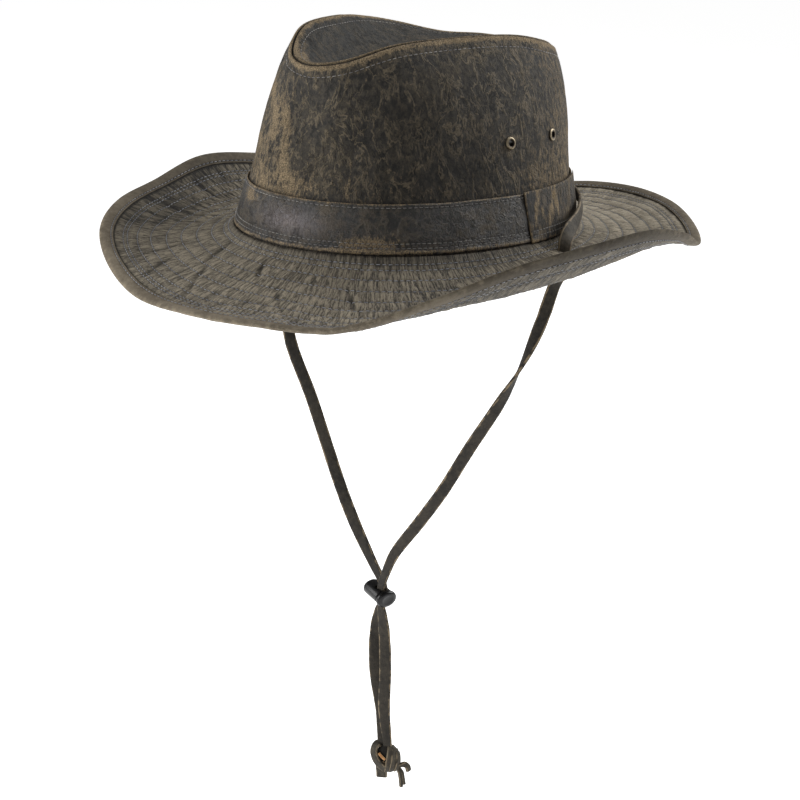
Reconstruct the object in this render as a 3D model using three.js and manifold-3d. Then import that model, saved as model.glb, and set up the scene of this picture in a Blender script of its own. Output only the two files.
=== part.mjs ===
// A bush hat: a sewn cotton crown with a dented top, a stitched brim with a bound edge,
// a band with a keeper, four eyelets, and a chin strap with a slider and a knot.
// Millimetres. +Z is up, the front of the hat is -Y and the wearer's left is +X.
// The origin is the middle of the head opening, level with the seam of crown and brim.
import * as THREE from 'three';
import { mergeVertices } from 'three/addons/utils/BufferGeometryUtils.js';
import Module from 'manifold-3d';

// Sizes that can be set alone.
const headLength = 203;
const headWidth = 170;
const crownHeight = 108;
const brimWidth = 72;
const clothThickness = 1.6;
const brimThickness = 1.6;
const bindingWidth = 9;
const bindingThickness = 0.6;
const bandHeight = 25.2;
const bandLift = 3.4;
const bandThickness = 1.2;
const keeperThickness = 1;
const keeperOverhang = 0.8;
const eyeletOuterRadius = 3.5;
const eyeletHoleRadius = 1.6;
const eyeletMetal = 0.5;
const strapWidth = 7;
const strapThickness = 2;
const strapHoleOffset = 11;
const strapHoleDegrees = 99;
const strapHoleTurn = 40;
const sliderLength = 18;
const sliderRadius = 4.4;
const sliderWidening = 1.25;
const sliderShift = -3;
const sliderGrooveDepth = 1;
const knotWidth = 17;
const knotDepth = 12;
const knotHeight = 16;

// Clearances.
const seamGap = 0.3;
const strapHoleGap = 0.6;

// Steps round the hat.
const roundSteps = 64;
const tipSteps = 48;

// The top edge of the crown, from the front (0) round to the back (180), the same on both sides.
// across and along are shares of half the crown's width and length, height is a share of crownHeight,
// bulge is how far the wall swells between brim and top, in mm. fall shapes the dent, and trough is how
// far it sinks, in mm, between its edge and its middle. lopside is the share of crownHeight that the
// wearer's left is higher and the right lower.
const crownRows = [
  // degrees, across, along, height, bulge, fall, trough, lopside
  [0, 0.0, -0.811, 0.887, -2.5, 2.6, 9, 0],
  [20, 0.223, -0.737, 0.918, 0.8, 2.6, 10, -0.003],
  [45, 0.409, -0.482, 1.009, 5, 2.4, 9, -0.012],
  [70, 0.561, -0.078, 1.023, 6, 2.2, 6, -0.005],
  [90, 0.638, 0.198, 0.999, 5.3, 2.2, 4, 0.007],
  [115, 0.625, 0.483, 0.942, 3.6, 2.2, 3, 0.007],
  [140, 0.473, 0.725, 0.882, 3.1, 2.4, 2, 0.007],
  [160, 0.273, 0.877, 0.87, 4.7, 2.6, 2, 0.003],
  [180, 0.0, 0.887, 0.868, 0.9, 2.8, 2, 0],
];

// How high on the wall its swell sits: 1 is half way up, more is higher.
const bulgeRise = 2.2;

// The brim, all the way round from the front by the wearer's left. reach, slope and end are shares of
// brimWidth: how far it goes out, how it sets off, where its edge ends. curl bends what is outside curlFrom.
const curlFrom = 0.65;
const brimRows = [
  // degrees, reach, slope, end, curl
  [0, 0.98, -0.392, -0.291, 0.014],
  [15, 1.001, -0.451, -0.235, -0.03],
  [30, 1.023, -0.543, -0.222, -0.011],
  [45, 1.047, -0.553, 0.037, -0.046],
  [60, 1.084, -0.527, 0.396, -0.179],
  [75, 1.097, -0.412, 0.513, -0.196],
  [90, 1.078, -0.274, 0.473, -0.138],
  [105, 1.038, -0.151, 0.326, -0.123],
  [120, 1.004, -0.128, 0.141, -0.13],
  [150, 0.886, -0.128, 0.18, -0.095],
  [180, 0.966, -0.238, 0.034, -0.019],
  [210, 0.971, -0.303, -0.2, -0.023],
  [240, 0.989, -0.315, 0.082, -0.001],
  [255, 1.006, -0.284, 0.232, -0.067],
  [270, 1.024, -0.257, 0.302, -0.096],
  [285, 1.035, -0.269, 0.179, -0.093],
  [300, 1.04, -0.275, 0.079, -0.044],
  [315, 1.026, -0.266, -0.016, -0.038],
  [330, 0.981, -0.27, -0.131, -0.057],
  [345, 0.958, -0.319, -0.256, -0.039],
];

// How far the top panel's edge stands over the wall's, in mm.
const tipRise = 0.8;
// The dent in the top: where its middle is, as shares of half the length and of crownHeight.
const dent = { along: 0.04, height: 0.87 };
// The pinch at each side of the front: where it is, how far it spreads, where it starts as a share of the
// wall's height, and how deep it is in mm.
const pinch = { degrees: 33, spread: 13, from: 0.45, depth: 1.2 };

// Eyelets on one side of the crown: degrees from the front and share of the wall's height.
const eyeletRows = [
  [81.6, 0.506],
  [105.8, 0.528],
];

// The keeper: its front edge slants, its back edge is upright.
const keeper = { frontBottom: 90, frontTop: 87, back: 134, steps: 14 };

// The stretch of strap from the hole at one side round the back, one side; the other side mirrors it.
// after is in degrees from the hole, height is over the brim and out is off the crown's wall, in mm, and
// turn is how far the flat of the strap turns from the wall towards the front, in degrees.
const wrapRows = [
  // after, height, out, turn
  [0, -1.2, 11, 40],
  [1, 2, 11.4, 40],
  [4, 5.2, 11.2, 37],
  [9.5, 8, 9.8, 29],
  [18, 10.6, 7.4, 15],
  [29, 12.2, 5.4, 4],
  [45, 12.6, 4.7, 0],
];

// The free strands, from the brim to the knot. x, y and z in mm; facing is the direction, in degrees from
// the wearer's left towards the back, that the flat of the strap looks to; wide is a share of strapWidth.
const leftRoute = [
  // x, y, z, facing, wide
  [91.8, 16.0, -22.7, -36, 1],
  [89.4, 9.5, -41.8, -66, 1],
  [83.5, 3.0, -64.1, -132, 0.95],
  [72.5, -2.5, -89.0, -205, 1],
  [56.1, -6.0, -117.2, -228, 1],
  [40.2, -8.0, -144.9, -232, 1],
  [25.2, -9.4, -167.0, -240, 1],
  [9.2, -10.6, -189.0, -258, 0.9],
  [2.6, -11.2, -203.5, -268, 0.8],
];
const rightRoute = [
  // x, y, z, facing, wide
  [-93.3, 14.8, -24.0, 152, 1],
  [-91.7, 6.1, -47.0, 140, 1],
  [-82.2, -5.0, -78.7, 132, 1],
  [-58.3, -9.8, -113.3, 130, 1],
  [-35.8, -10.9, -156.0, 128, 1],
  [-23.0, -10.6, -178.7, 118, 1],
  [-9.8, -9.6, -199.0, 100, 0.9],
  [-3.2, -8.9, -208.5, 92, 0.8],
];
// The slider's middle, and the strands and the knot below it, measured from that middle.
const sliderMiddle = [-0.6, -10.0, -218.2];
const leftTail = [
  // x, y, z, facing, wide
  [2.4, -1.4, -14, -262, 0.95],
  [4.2, -1.2, -28, -246, 1],
  [4.8, -0.6, -48, -240, 1],
  [4.6, -0.4, -70, -244, 1],
];
const rightTail = [
  // x, y, z, facing, wide
  [-3.6, 1.6, -12, 104, 0.85],
  [-6.2, 2.2, -28, 128, 1],
  [-5.2, 2.2, -50, 122, 1],
  [-0.4, 2.2, -72, 112, 0.9],
];
const knotMiddle = [5.2, 0.5, -100.8];

// Colours, roughness and metalness of the finishes.
const crownFinish = new THREE.MeshStandardMaterial({ color: 0x453c30, roughness: 0.82, metalness: 0 });
const tipFinish = new THREE.MeshStandardMaterial({ color: 0x3d3932, roughness: 0.84, metalness: 0 });
const brimFinish = new THREE.MeshStandardMaterial({ color: 0x4b4236, roughness: 0.86, metalness: 0 });
const bindingFinish = new THREE.MeshStandardMaterial({ color: 0x50473a, roughness: 0.75, metalness: 0 });
const bandFinish = new THREE.MeshStandardMaterial({ color: 0x3a342c, roughness: 0.68, metalness: 0 });
const strapFinish = new THREE.MeshStandardMaterial({ color: 0x3b3429, roughness: 0.72, metalness: 0 });
const eyeletFinish = new THREE.MeshStandardMaterial({ color: 0x6e6455, roughness: 0.4, metalness: 1 });
const sliderFinish = new THREE.MeshStandardMaterial({ color: 0x17181a, roughness: 0.35, metalness: 0 });

const halfWidth = headWidth / 2 + clothThickness;
const halfLength = headLength / 2 + clothThickness;
const radians = (degrees) => (degrees * Math.PI) / 180;
const vector = (x, y, z) => new THREE.Vector3(x, y, z);

// A smooth curve through ys at xs, with the neighbours of both ends given.
function smoothThrough(xs, ys, before, after, x) {
  const last = xs.length - 1;
  const allX = [before[0], ...xs, after[0]];
  const allY = [before[1], ...ys, after[1]];
  let i = 0;
  while (i < last - 1 && x >= xs[i + 1]) i += 1;
  const slopeAt = (k) => (allY[k + 2] - allY[k]) / (allX[k + 2] - allX[k]);
  const step = xs[i + 1] - xs[i];
  const t = (x - xs[i]) / step;
  const t2 = t * t;
  const t3 = t2 * t;
  const fromStart = (2 * t3 - 3 * t2 + 1) * ys[i] + (t3 - 2 * t2 + t) * step * slopeAt(i);
  return fromStart + (3 * t2 - 2 * t3) * ys[i + 1] + (t3 - t2) * step * slopeAt(i + 1);
}

// Rows for half a turn, mirrored: across and lopside change their sign on the other side.
function halfTurn(rows, column, degrees) {
  const turned = ((((degrees + 180) % 360) + 360) % 360) - 180;
  const xs = rows.map((row) => row[0]);
  const ys = rows.map((row) => row[column]);
  const n = rows.length - 1;
  const sign = column === 1 || column === 7 ? -1 : 1;
  const value = smoothThrough(xs, ys, [-xs[1], sign * ys[1]], [360 - xs[n - 1], sign * ys[n - 1]], Math.abs(turned));
  return sign < 0 ? value * Math.sign(turned) : value;
}

// Rows for a whole turn.
function wholeTurn(rows, column, degrees) {
  const turned = ((degrees % 360) + 360) % 360;
  const xs = [...rows.map((row) => row[0]), 360];
  const ys = [...rows.map((row) => row[column]), rows[0][column]];
  const last = rows[rows.length - 1];
  return smoothThrough(xs, ys, [last[0] - 360, last[column]], [rows[1][0] + 360, rows[1][column]], turned);
}

// A list of rows as one smooth path: each column is a curve over the row number.
function alongRows(rows, share) {
  const n = rows.length - 1;
  const xs = rows.map((row, i) => i);
  return rows[0].map((value, column) => {
    const ys = rows.map((row) => row[column]);
    const before = [-1, 2 * ys[0] - ys[1]];
    const after = [n + 1, 2 * ys[n] - ys[n - 1]];
    return smoothThrough(xs, ys, before, after, share * n);
  });
}

// The outward direction of the head oval, and a point on it.
function outward(degrees) {
  const t = radians(degrees);
  return vector(Math.sin(t) / halfWidth, -Math.cos(t) / halfLength, 0).normalize();
}
function ovalPoint(degrees) {
  const t = radians(degrees);
  return vector(halfWidth * Math.sin(t), -halfLength * Math.cos(t), 0);
}
function topHeight(degrees) {
  return crownHeight * (halfTurn(crownRows, 3, degrees) + halfTurn(crownRows, 7, degrees));
}
function topEdge(degrees) {
  const across = halfTurn(crownRows, 1, degrees) * halfWidth;
  const along = halfTurn(crownRows, 2, degrees) * halfLength;
  return vector(across, along, topHeight(degrees));
}

// The outer face of the crown's wall. share is 0 at the brim and 1 at the top edge.
function wallPoint(degrees, share) {
  const start = ovalPoint(degrees);
  const point = topEdge(degrees).sub(start).multiplyScalar(share).add(start);
  const risen = Math.min(Math.max(share, 0), 1) ** bulgeRise;
  const swell = halfTurn(crownRows, 4, degrees) * Math.sin(Math.PI * risen);
  const turned = Math.abs(((((degrees + 180) % 360) + 360) % 360) - 180);
  const side = (turned - pinch.degrees) / pinch.spread;
  const up = Math.min(Math.max((share - pinch.from) / (1 - pinch.from), 0), 1);
  const press = pinch.depth * Math.exp(-side * side) * Math.sin(Math.PI * up) ** 2;
  return point.addScaledVector(outward(degrees), swell - press);
}
function wallShareAt(degrees, height) {
  return height / topHeight(degrees);
}
function wallNormal(degrees, share) {
  const round = wallPoint(degrees + 0.5, share).sub(wallPoint(degrees - 0.5, share));
  const up = wallPoint(degrees, share + 0.01).sub(wallPoint(degrees, share - 0.01));
  return round.cross(up).normalize();
}
// A point off the wall's outer face by some distance, at a height over the brim.
function offWall(degrees, height, distance) {
  const share = wallShareAt(degrees, height);
  return wallPoint(degrees, share).addScaledVector(wallNormal(degrees, share), distance);
}

// The upper face of the brim. share is 0 at the crown and 1 at the outer edge.
function brimPoint(degrees, share) {
  const reach = wholeTurn(brimRows, 1, degrees);
  const slope = wholeTurn(brimRows, 2, degrees);
  const end = wholeTurn(brimRows, 3, degrees);
  const point = ovalPoint(degrees).addScaledVector(outward(degrees), brimWidth * reach * share);
  const out = Math.max(share, 0);
  const curled = wholeTurn(brimRows, 4, degrees) * (Math.max(share - curlFrom, 0) / (1 - curlFrom)) ** 2;
  point.z = brimWidth * (slope * out + (end - slope) * out ** 3 + curled);
  return point;
}
function brimNormal(degrees, share) {
  const round = brimPoint(degrees + 0.5, share).sub(brimPoint(degrees - 0.5, share));
  const out = brimPoint(degrees, share + 0.01).sub(brimPoint(degrees, share - 0.01));
  return out.cross(round).normalize();
}
// A point off the brim's upper face, at a distance in from its outer edge.
function offBrim(degrees, fromEdge, distance) {
  const share = 1 - fromEdge / (brimWidth * wholeTurn(brimRows, 1, degrees));
  return brimPoint(degrees, share).addScaledVector(brimNormal(degrees, share), distance);
}

// A closed body from loops of points: each loop joins the next, and the last joins the first
// when the body is a ring, or both ends get a cap.
function bodyFromLoops(loops, ring) {
  const sides = loops[0].length;
  const positions = [];
  loops.forEach((loop) => loop.forEach((p) => positions.push(p.x, p.y, p.z)));
  const index = [];
  const at = (i, k) => (i % loops.length) * sides + (k % sides);
  const rows = ring ? loops.length : loops.length - 1;
  for (let i = 0; i < rows; i += 1) {
    for (let k = 0; k < sides; k += 1) {
      index.push(at(i, k), at(i + 1, k), at(i + 1, k + 1));
      index.push(at(i, k), at(i + 1, k + 1), at(i, k + 1));
    }
  }
  if (!ring) {
    [0, loops.length - 1].forEach((end) => {
      const middle = loops[end].reduce((sum, p) => sum.add(p), vector(0, 0, 0)).divideScalar(sides);
      const centre = positions.length / 3;
      positions.push(middle.x, middle.y, middle.z);
      for (let k = 0; k < sides; k += 1) {
        if (end === 0) index.push(centre, at(end, k), at(end, k + 1));
        else index.push(centre, at(end, k + 1), at(end, k));
      }
    });
  }
  return facingOut(positions, index);
}

// Builds the geometry with its faces turned outwards.
function facingOut(positions, index) {
  let volume = 0;
  const corner = (i) => vector(positions[3 * i], positions[3 * i + 1], positions[3 * i + 2]);
  for (let i = 0; i < index.length; i += 3) {
    volume += corner(index[i]).dot(corner(index[i + 1]).cross(corner(index[i + 2])));
  }
  if (volume < 0) {
    for (let i = 0; i < index.length; i += 3) [index[i + 1], index[i + 2]] = [index[i + 2], index[i + 1]];
  }
  const geometry = new THREE.BufferGeometry();
  geometry.setAttribute('position', new THREE.Float32BufferAttribute(positions, 3));
  geometry.setIndex(index);
  return geometry;
}

const wasm = await Module();
wasm.setup();

// Joins and cuts through the solid modeller.
function toSolid(geometry) {
  const bare = geometry.clone();
  bare.deleteAttribute('normal');
  bare.deleteAttribute('uv');
  const merged = mergeVertices(bare, 1e-5);
  return new wasm.Manifold(
    new wasm.Mesh({
      numProp: 3,
      vertProperties: new Float32Array(merged.attributes.position.array),
      triVerts: new Uint32Array(merged.index.array),
    }),
  );
}
function fromSolid(solid) {
  const mesh = solid.getMesh();
  const geometry = new THREE.BufferGeometry();
  geometry.setAttribute('position', new THREE.Float32BufferAttribute(Array.from(mesh.vertProperties), 3));
  geometry.setIndex(Array.from(mesh.triVerts));
  return geometry;
}
function cut(geometry, tools) {
  return fromSolid(tools.reduce((solid, tool) => solid.subtract(toSolid(tool)), toSolid(geometry)));
}
function join(geometries) {
  return fromSolid(geometries.map(toSolid).reduce((sum, solid) => sum.add(solid)));
}

// Puts a shape made round its own z axis at a point, with that axis along a direction.
function placed(geometry, point, direction, up = vector(0, 0, 1)) {
  const z = direction.clone().normalize();
  const x = up.clone().cross(z).normalize();
  const y = z.clone().cross(x);
  const matrix = new THREE.Matrix4().makeBasis(x, y, z).setPosition(point);
  return geometry.clone().applyMatrix4(matrix);
}

const everyDegrees = (steps) => Array.from({ length: steps }, (value, i) => (i * 360) / steps);
const shares = (count) => Array.from({ length: count + 1 }, (value, i) => i / count);

const hat = new THREE.Group();
function addPiece(name, geometry, finish) {
  geometry.computeVertexNormals();
  const mesh = new THREE.Mesh(geometry, finish);
  mesh.name = name;
  hat.add(mesh);
}

// Crown wall: an open shell with a hole for each eyelet.
const eyeletBarrelRadius = eyeletHoleRadius + eyeletMetal;
const sides = [1, -1];
const eyeletPlaces = eyeletRows.flatMap(([degrees, share], i) =>
  sides.map((side) => ({
    name: `eyelet_${side > 0 ? 'left' : 'right'}_${i === 0 ? 'front' : 'back'}`,
    point: wallPoint(side * degrees, share),
    normal: wallNormal(side * degrees, share),
  })),
);
const wallShares = [0.17, 0.34, 0.51, 0.68, 0.84, 1];
const wallLoops = everyDegrees(roundSteps).map((degrees) => {
  const all = [wallShareAt(degrees, seamGap), ...wallShares];
  const outside = all.map((share) => wallPoint(degrees, share));
  const inside = all.map((share) =>
    wallPoint(degrees, share).addScaledVector(wallNormal(degrees, share), -clothThickness),
  );
  inside[0].z = seamGap;
  return [...outside, ...inside.reverse()];
});
const eyeletCutters = eyeletPlaces.map(({ point, normal }) => {
  const cutter = new THREE.CylinderGeometry(
    eyeletBarrelRadius + seamGap, eyeletBarrelRadius + seamGap, 6 * clothThickness + 6, 12,
  );
  cutter.rotateX(Math.PI / 2);
  return placed(cutter, point, normal);
});
addPiece('crown_wall', cut(bodyFromLoops(wallLoops, true), eyeletCutters), crownFinish);

// Crown tip: the dented top panel, inside the wall's upper edge.
const dentMiddle = vector(0, dent.along * halfLength, dent.height * crownHeight);
function tipEdge(degrees) {
  const round = topEdge(degrees + 0.5).sub(topEdge(degrees - 0.5));
  const normal = vector(round.y, -round.x, 0).normalize();
  const edge = topEdge(degrees).addScaledVector(normal, -(clothThickness + seamGap));
  return edge.setZ(edge.z + tipRise);
}
function tipPoint(degrees, share) {
  const edge = tipEdge(degrees);
  const point = edge.clone().sub(dentMiddle).multiplyScalar(share).add(dentMiddle);
  const weight = share ** halfTurn(crownRows, 5, degrees);
  const sink = halfTurn(crownRows, 6, degrees) * Math.sin(Math.PI * share) ** 2;
  point.z = edge.z * weight + dentMiddle.z * (1 - weight) - sink;
  return point;
}
function tipBody() {
  const rings = [0.2, 0.4, 0.6, 0.8, 1];
  const positions = [];
  const index = [];
  const degreesList = everyDegrees(tipSteps);
  [0, clothThickness].forEach((drop) => {
    positions.push(dentMiddle.x, dentMiddle.y, dentMiddle.z - drop);
    rings.forEach((share) => degreesList.forEach((degrees) => {
      const p = tipPoint(degrees, share);
      positions.push(p.x, p.y, p.z - drop);
    }));
  });
  const layer = 1 + rings.length * tipSteps;
  const at = (side, ring, k) => side * layer + 1 + ring * tipSteps + (k % tipSteps);
  for (let k = 0; k < tipSteps; k += 1) {
    index.push(0, at(0, 0, k), at(0, 0, k + 1));
    index.push(layer, at(1, 0, k + 1), at(1, 0, k));
    for (let ring = 0; ring < rings.length - 1; ring += 1) {
      index.push(at(0, ring, k), at(0, ring + 1, k), at(0, ring + 1, k + 1));
      index.push(at(0, ring, k), at(0, ring + 1, k + 1), at(0, ring, k + 1));
      index.push(at(1, ring, k), at(1, ring + 1, k + 1), at(1, ring + 1, k));
      index.push(at(1, ring, k), at(1, ring, k + 1), at(1, ring + 1, k + 1));
    }
    const rim = rings.length - 1;
    index.push(at(0, rim, k), at(1, rim, k), at(1, rim, k + 1));
    index.push(at(0, rim, k), at(1, rim, k + 1), at(0, rim, k + 1));
  }
  return facingOut(positions, index);
}
addPiece('crown_tip', tipBody(), tipFinish);

// Brim: it runs in under the wall, and ends inside the fold of the binding.
const foldDepth = brimThickness / 2 + seamGap + bindingThickness;
const strapHolePoints = sides.map((side) => {
  const degrees = side * strapHoleDegrees;
  const share = strapHoleOffset / (brimWidth * wholeTurn(brimRows, 1, degrees));
  const out = outward(degrees).applyAxisAngle(vector(0, 0, 1), radians(-side * strapHoleTurn));
  return { point: brimPoint(degrees, share), out };
});
const strapSlots = strapHolePoints.map(({ point, out }) => {
  const slot = new THREE.BoxGeometry(
    strapWidth + 2 * strapHoleGap, strapThickness + 2 * strapHoleGap, 8 * brimThickness,
  );
  const matrix = new THREE.Matrix4().makeBasis(vector(-out.y, out.x, 0), out.clone().negate(), vector(0, 0, 1));
  return slot.applyMatrix4(matrix.setPosition(point));
});
const brimShares = [0, 0.12, 0.27, 0.44, 0.6, 0.75];
const underTape = (bindingWidth + foldDepth) / 2;
const brimLoops = everyDegrees(roundSteps).map((degrees) => {
  const inner = ovalPoint(degrees).addScaledVector(outward(degrees), -clothThickness);
  const reach = brimWidth * wholeTurn(brimRows, 1, degrees);
  const edgeShares = [bindingWidth, underTape, foldDepth].map((fromEdge) => 1 - fromEdge / reach);
  const top = [...brimShares, ...edgeShares].map((share) => brimPoint(degrees, share));
  const under = [...brimShares.slice(1), ...edgeShares].map((share) =>
    brimPoint(degrees, share).addScaledVector(brimNormal(degrees, share), -brimThickness),
  );
  const innerUnder = inner.clone().setZ(-brimThickness);
  return [inner, ...top, ...under.reverse(), innerUnder];
});
addPiece('brim', cut(bodyFromLoops(brimLoops, true), strapSlots), brimFinish);

// Binding: a tape folded over the brim's edge. Each row is a distance in from the edge and off the brim's face.
const overTop = seamGap + bindingThickness;
const middleDown = -brimThickness / 2;
const halfFold = brimThickness / 2 + overTop;
const slant = Math.SQRT1_2;
const bindingRows = [
  [bindingWidth, overTop],
  [underTape, overTop],
  [foldDepth, overTop],
  [foldDepth * (1 - slant), middleDown + halfFold * slant],
  [0, middleDown],
  [foldDepth * (1 - slant), middleDown - halfFold * slant],
  [foldDepth, -brimThickness - overTop],
  [underTape, -brimThickness - overTop],
  [bindingWidth, -brimThickness - overTop],
  [bindingWidth, -brimThickness - seamGap],
  [underTape, -brimThickness - seamGap],
  [foldDepth, -brimThickness - seamGap],
  [bindingThickness, middleDown],
  [foldDepth, seamGap],
  [underTape, seamGap],
  [bindingWidth, seamGap],
];
const bindingLoops = everyDegrees(roundSteps).map((degrees) =>
  bindingRows.map(([fromEdge, distance]) => offBrim(degrees, fromEdge, distance)),
);
addPiece('brim_binding', bodyFromLoops(bindingLoops, true), bindingFinish);

// Band: a flat strip round the crown, a little over the brim.
const bandOut = seamGap + bandThickness;
const bandTop = bandLift + bandHeight;
const bandLoops = everyDegrees(roundSteps).map((degrees) => [
  offWall(degrees, bandLift, bandOut),
  offWall(degrees, (bandLift + bandTop) / 2, bandOut),
  offWall(degrees, bandTop, bandOut),
  offWall(degrees, bandTop, seamGap),
  offWall(degrees, (bandLift + bandTop) / 2, seamGap),
  offWall(degrees, bandLift, seamGap),
]);
addPiece('hat_band', bodyFromLoops(bandLoops, true), bandFinish);

// Keeper: a wide tab laid over the band on the wearer's left.
const keeperIn = bandOut + seamGap;
const keeperOut = keeperIn + keeperThickness;
const keeperBottom = bandLift - keeperOverhang;
const keeperTop = bandTop + keeperOverhang;
const keeperLoops = shares(keeper.steps).map((share) => {
  const low = keeper.frontBottom + (keeper.back - keeper.frontBottom) * share;
  const high = keeper.frontTop + (keeper.back - keeper.frontTop) * share;
  return [
    offWall(low, keeperBottom, keeperOut),
    offWall((low + high) / 2, (keeperBottom + keeperTop) / 2, keeperOut),
    offWall(high, keeperTop, keeperOut),
    offWall(high, keeperTop, keeperIn),
    offWall((low + high) / 2, (keeperBottom + keeperTop) / 2, keeperIn),
    offWall(low, keeperBottom, keeperIn),
  ];
});
addPiece('band_keeper', bodyFromLoops(keeperLoops, false), bandFinish);

// Eyelets: a rolled rim outside, a barrel through the cloth and a washer inside.
const eyeletProfile = [
  [eyeletHoleRadius, seamGap + eyeletMetal],
  [(eyeletHoleRadius + eyeletOuterRadius) / 2, seamGap + 1.6 * eyeletMetal],
  [eyeletOuterRadius, seamGap + 0.5 * eyeletMetal],
  [eyeletOuterRadius, seamGap],
  [eyeletBarrelRadius, seamGap],
  [eyeletBarrelRadius, -clothThickness - seamGap],
  [eyeletOuterRadius - 0.4, -clothThickness - seamGap],
  [eyeletHoleRadius, -clothThickness - seamGap - eyeletMetal],
];
const eyeletLoops = everyDegrees(12).map((degrees) =>
  eyeletProfile.map(([radius, along]) =>
    vector(radius * Math.cos(radians(degrees)), radius * Math.sin(radians(degrees)), along)),
);
eyeletPlaces.forEach(({ name, point, normal }) => {
  addPiece(name, placed(bodyFromLoops(eyeletLoops, true), point, normal), eyeletFinish);
});

// A flat strap with rounded edges, swept along stations of point, normal and share of width.
const strapSection = [
  [-0.5, -0.2], [-0.36, -0.5], [0.36, -0.5], [0.5, -0.2],
  [0.5, 0.2], [0.36, 0.5], [-0.36, 0.5], [-0.5, 0.2],
];
function strapBody(stations) {
  const loops = stations.map(({ point, normal, wide }, i) => {
    const before = stations[Math.max(i - 1, 0)].point;
    const after = stations[Math.min(i + 1, stations.length - 1)].point;
    const along = after.clone().sub(before).normalize();
    const flat = normal.clone().addScaledVector(along, -normal.dot(along)).normalize();
    const across = flat.clone().cross(along);
    return strapSection.map(([u, v]) =>
      point.clone()
        .addScaledVector(across, u * strapWidth * wide)
        .addScaledVector(flat, v * strapThickness));
  });
  return bodyFromLoops(loops, false);
}

// The stretch round the back of the crown, outside the band and the keeper, down into both holes.
function wrapStation(after, height, out, turn, drop) {
  const degrees = strapHoleDegrees + after;
  const normal = wallNormal(degrees, wallShareAt(degrees, height));
  normal.applyAxisAngle(vector(0, 0, 1), radians(-turn));
  const hole = strapHolePoints[0].point;
  const into = hole.clone().setZ(hole.z + height);
  return { point: offWall(degrees, height, out).lerp(into, drop), normal, wide: 1 };
}
const down = shares(12).map((share) => {
  const [after, height, out, turn] = alongRows(wrapRows, share);
  return wrapStation(after, height, out, turn, Math.min(1, Math.max(0, 1.5 - 6 * share)));
});
const [backFrom, backHeight, wrapOut] = wrapRows[wrapRows.length - 1];
const halfBack = shares(6).slice(1).map((share) =>
  wrapStation(backFrom + (180 - strapHoleDegrees - backFrom) * share, backHeight, wrapOut, 0, 0));
const leftHalf = [...down, ...halfBack];
const rightHalf = leftHalf.slice(0, -1).reverse().map(({ point, normal, wide }) => ({
  point: vector(-point.x, point.y, point.z),
  normal: vector(-normal.x, normal.y, normal.z),
  wide,
}));
addPiece('strap_round_crown', strapBody([...leftHalf, ...rightHalf]), strapFinish);

// The free strands, through the slider to the knot.
const sliderPlace = vector(...sliderMiddle);
const knotPlace = sliderPlace.clone().add(vector(...knotMiddle));
const strandApart = (strapThickness + seamGap) / 2;
const strandDrop = 0.5;
function freeStations(side, route, tail) {
  const { point, out } = strapHolePoints[side];
  const start = point.clone().setZ(point.z + wrapRows[0][1] - strandDrop);
  const facing = (Math.atan2(out.y, out.x) * 180) / Math.PI;
  const turn = side === 0 ? facing : facing < 0 ? facing + 360 : facing;
  const inSlider = sliderPlace.clone().add(vector(0, side === 0 ? -strandApart : strandApart, 0));
  const sliderFacing = side === 0 ? -270 : 90;
  const rows = [
    [start.x, start.y, start.z, turn, 1],
    [start.x, start.y - 1, start.z - 9, turn - (side === 0 ? 8 : 4), 1],
    ...route,
    [inSlider.x, inSlider.y, inSlider.z + sliderRadius, sliderFacing, 0.75],
    [inSlider.x, inSlider.y, inSlider.z - sliderRadius, sliderFacing, 0.75],
    ...tail.map(([x, y, z, face, wide]) =>
      [sliderPlace.x + x, sliderPlace.y + y, sliderPlace.z + z, face, wide]),
  ];
  const top = knotPlace.z + knotHeight / 2 + seamGap;
  rows.push([knotPlace.x + (side === 0 ? 2.4 : -2.4), knotPlace.y, top, rows[rows.length - 1][3], 0.7]);
  const steps = 2 * (rows.length - 1);
  return shares(steps).map((share) => {
    const [x, y, z, face, wide] = alongRows(rows, share);
    return { point: vector(x, y, z), normal: vector(Math.cos(radians(face)), Math.sin(radians(face)), 0), wide };
  });
}
addPiece('strap_left', strapBody(freeStations(0, leftRoute, leftTail)), strapFinish);
addPiece('strap_right', strapBody(freeStations(1, rightRoute, rightTail)), strapFinish);

// Slider: a barrel with a groove and an end cap, and one hole for both strands.
const sliderDirection = vector(0.952, -0.261, -0.176).normalize();
const sliderProfile = [
  [0, -0.5], [0.86, -0.5], [1, -0.42], [1, 0.31], [1, 0.32, 1], [1, 0.35, 1],
  [1.1, 0.36], [1.1, 0.46], [0.95, 0.5], [0, 0.5],
];
const sliderLathe = new THREE.LatheGeometry(
  sliderProfile.map(([radius, along, groove]) =>
    new THREE.Vector2(radius * sliderRadius - (groove ? sliderGrooveDepth : 0), along * sliderLength)),
  16,
);
sliderLathe.rotateX(Math.PI / 2);
sliderLathe.scale(sliderWidening, 1, 1);
const sliderBore = new THREE.BoxGeometry(
  0.75 * strapWidth + 4 * seamGap, 2 * strapThickness + 5 * seamGap, 4 * sliderRadius,
);
sliderBore.translate(...sliderMiddle);
const barrelPlace = sliderPlace.clone().addScaledVector(sliderDirection, sliderShift);
addPiece('strap_slider', cut(placed(sliderLathe, barrelPlace, sliderDirection), [sliderBore]), sliderFinish);

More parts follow.
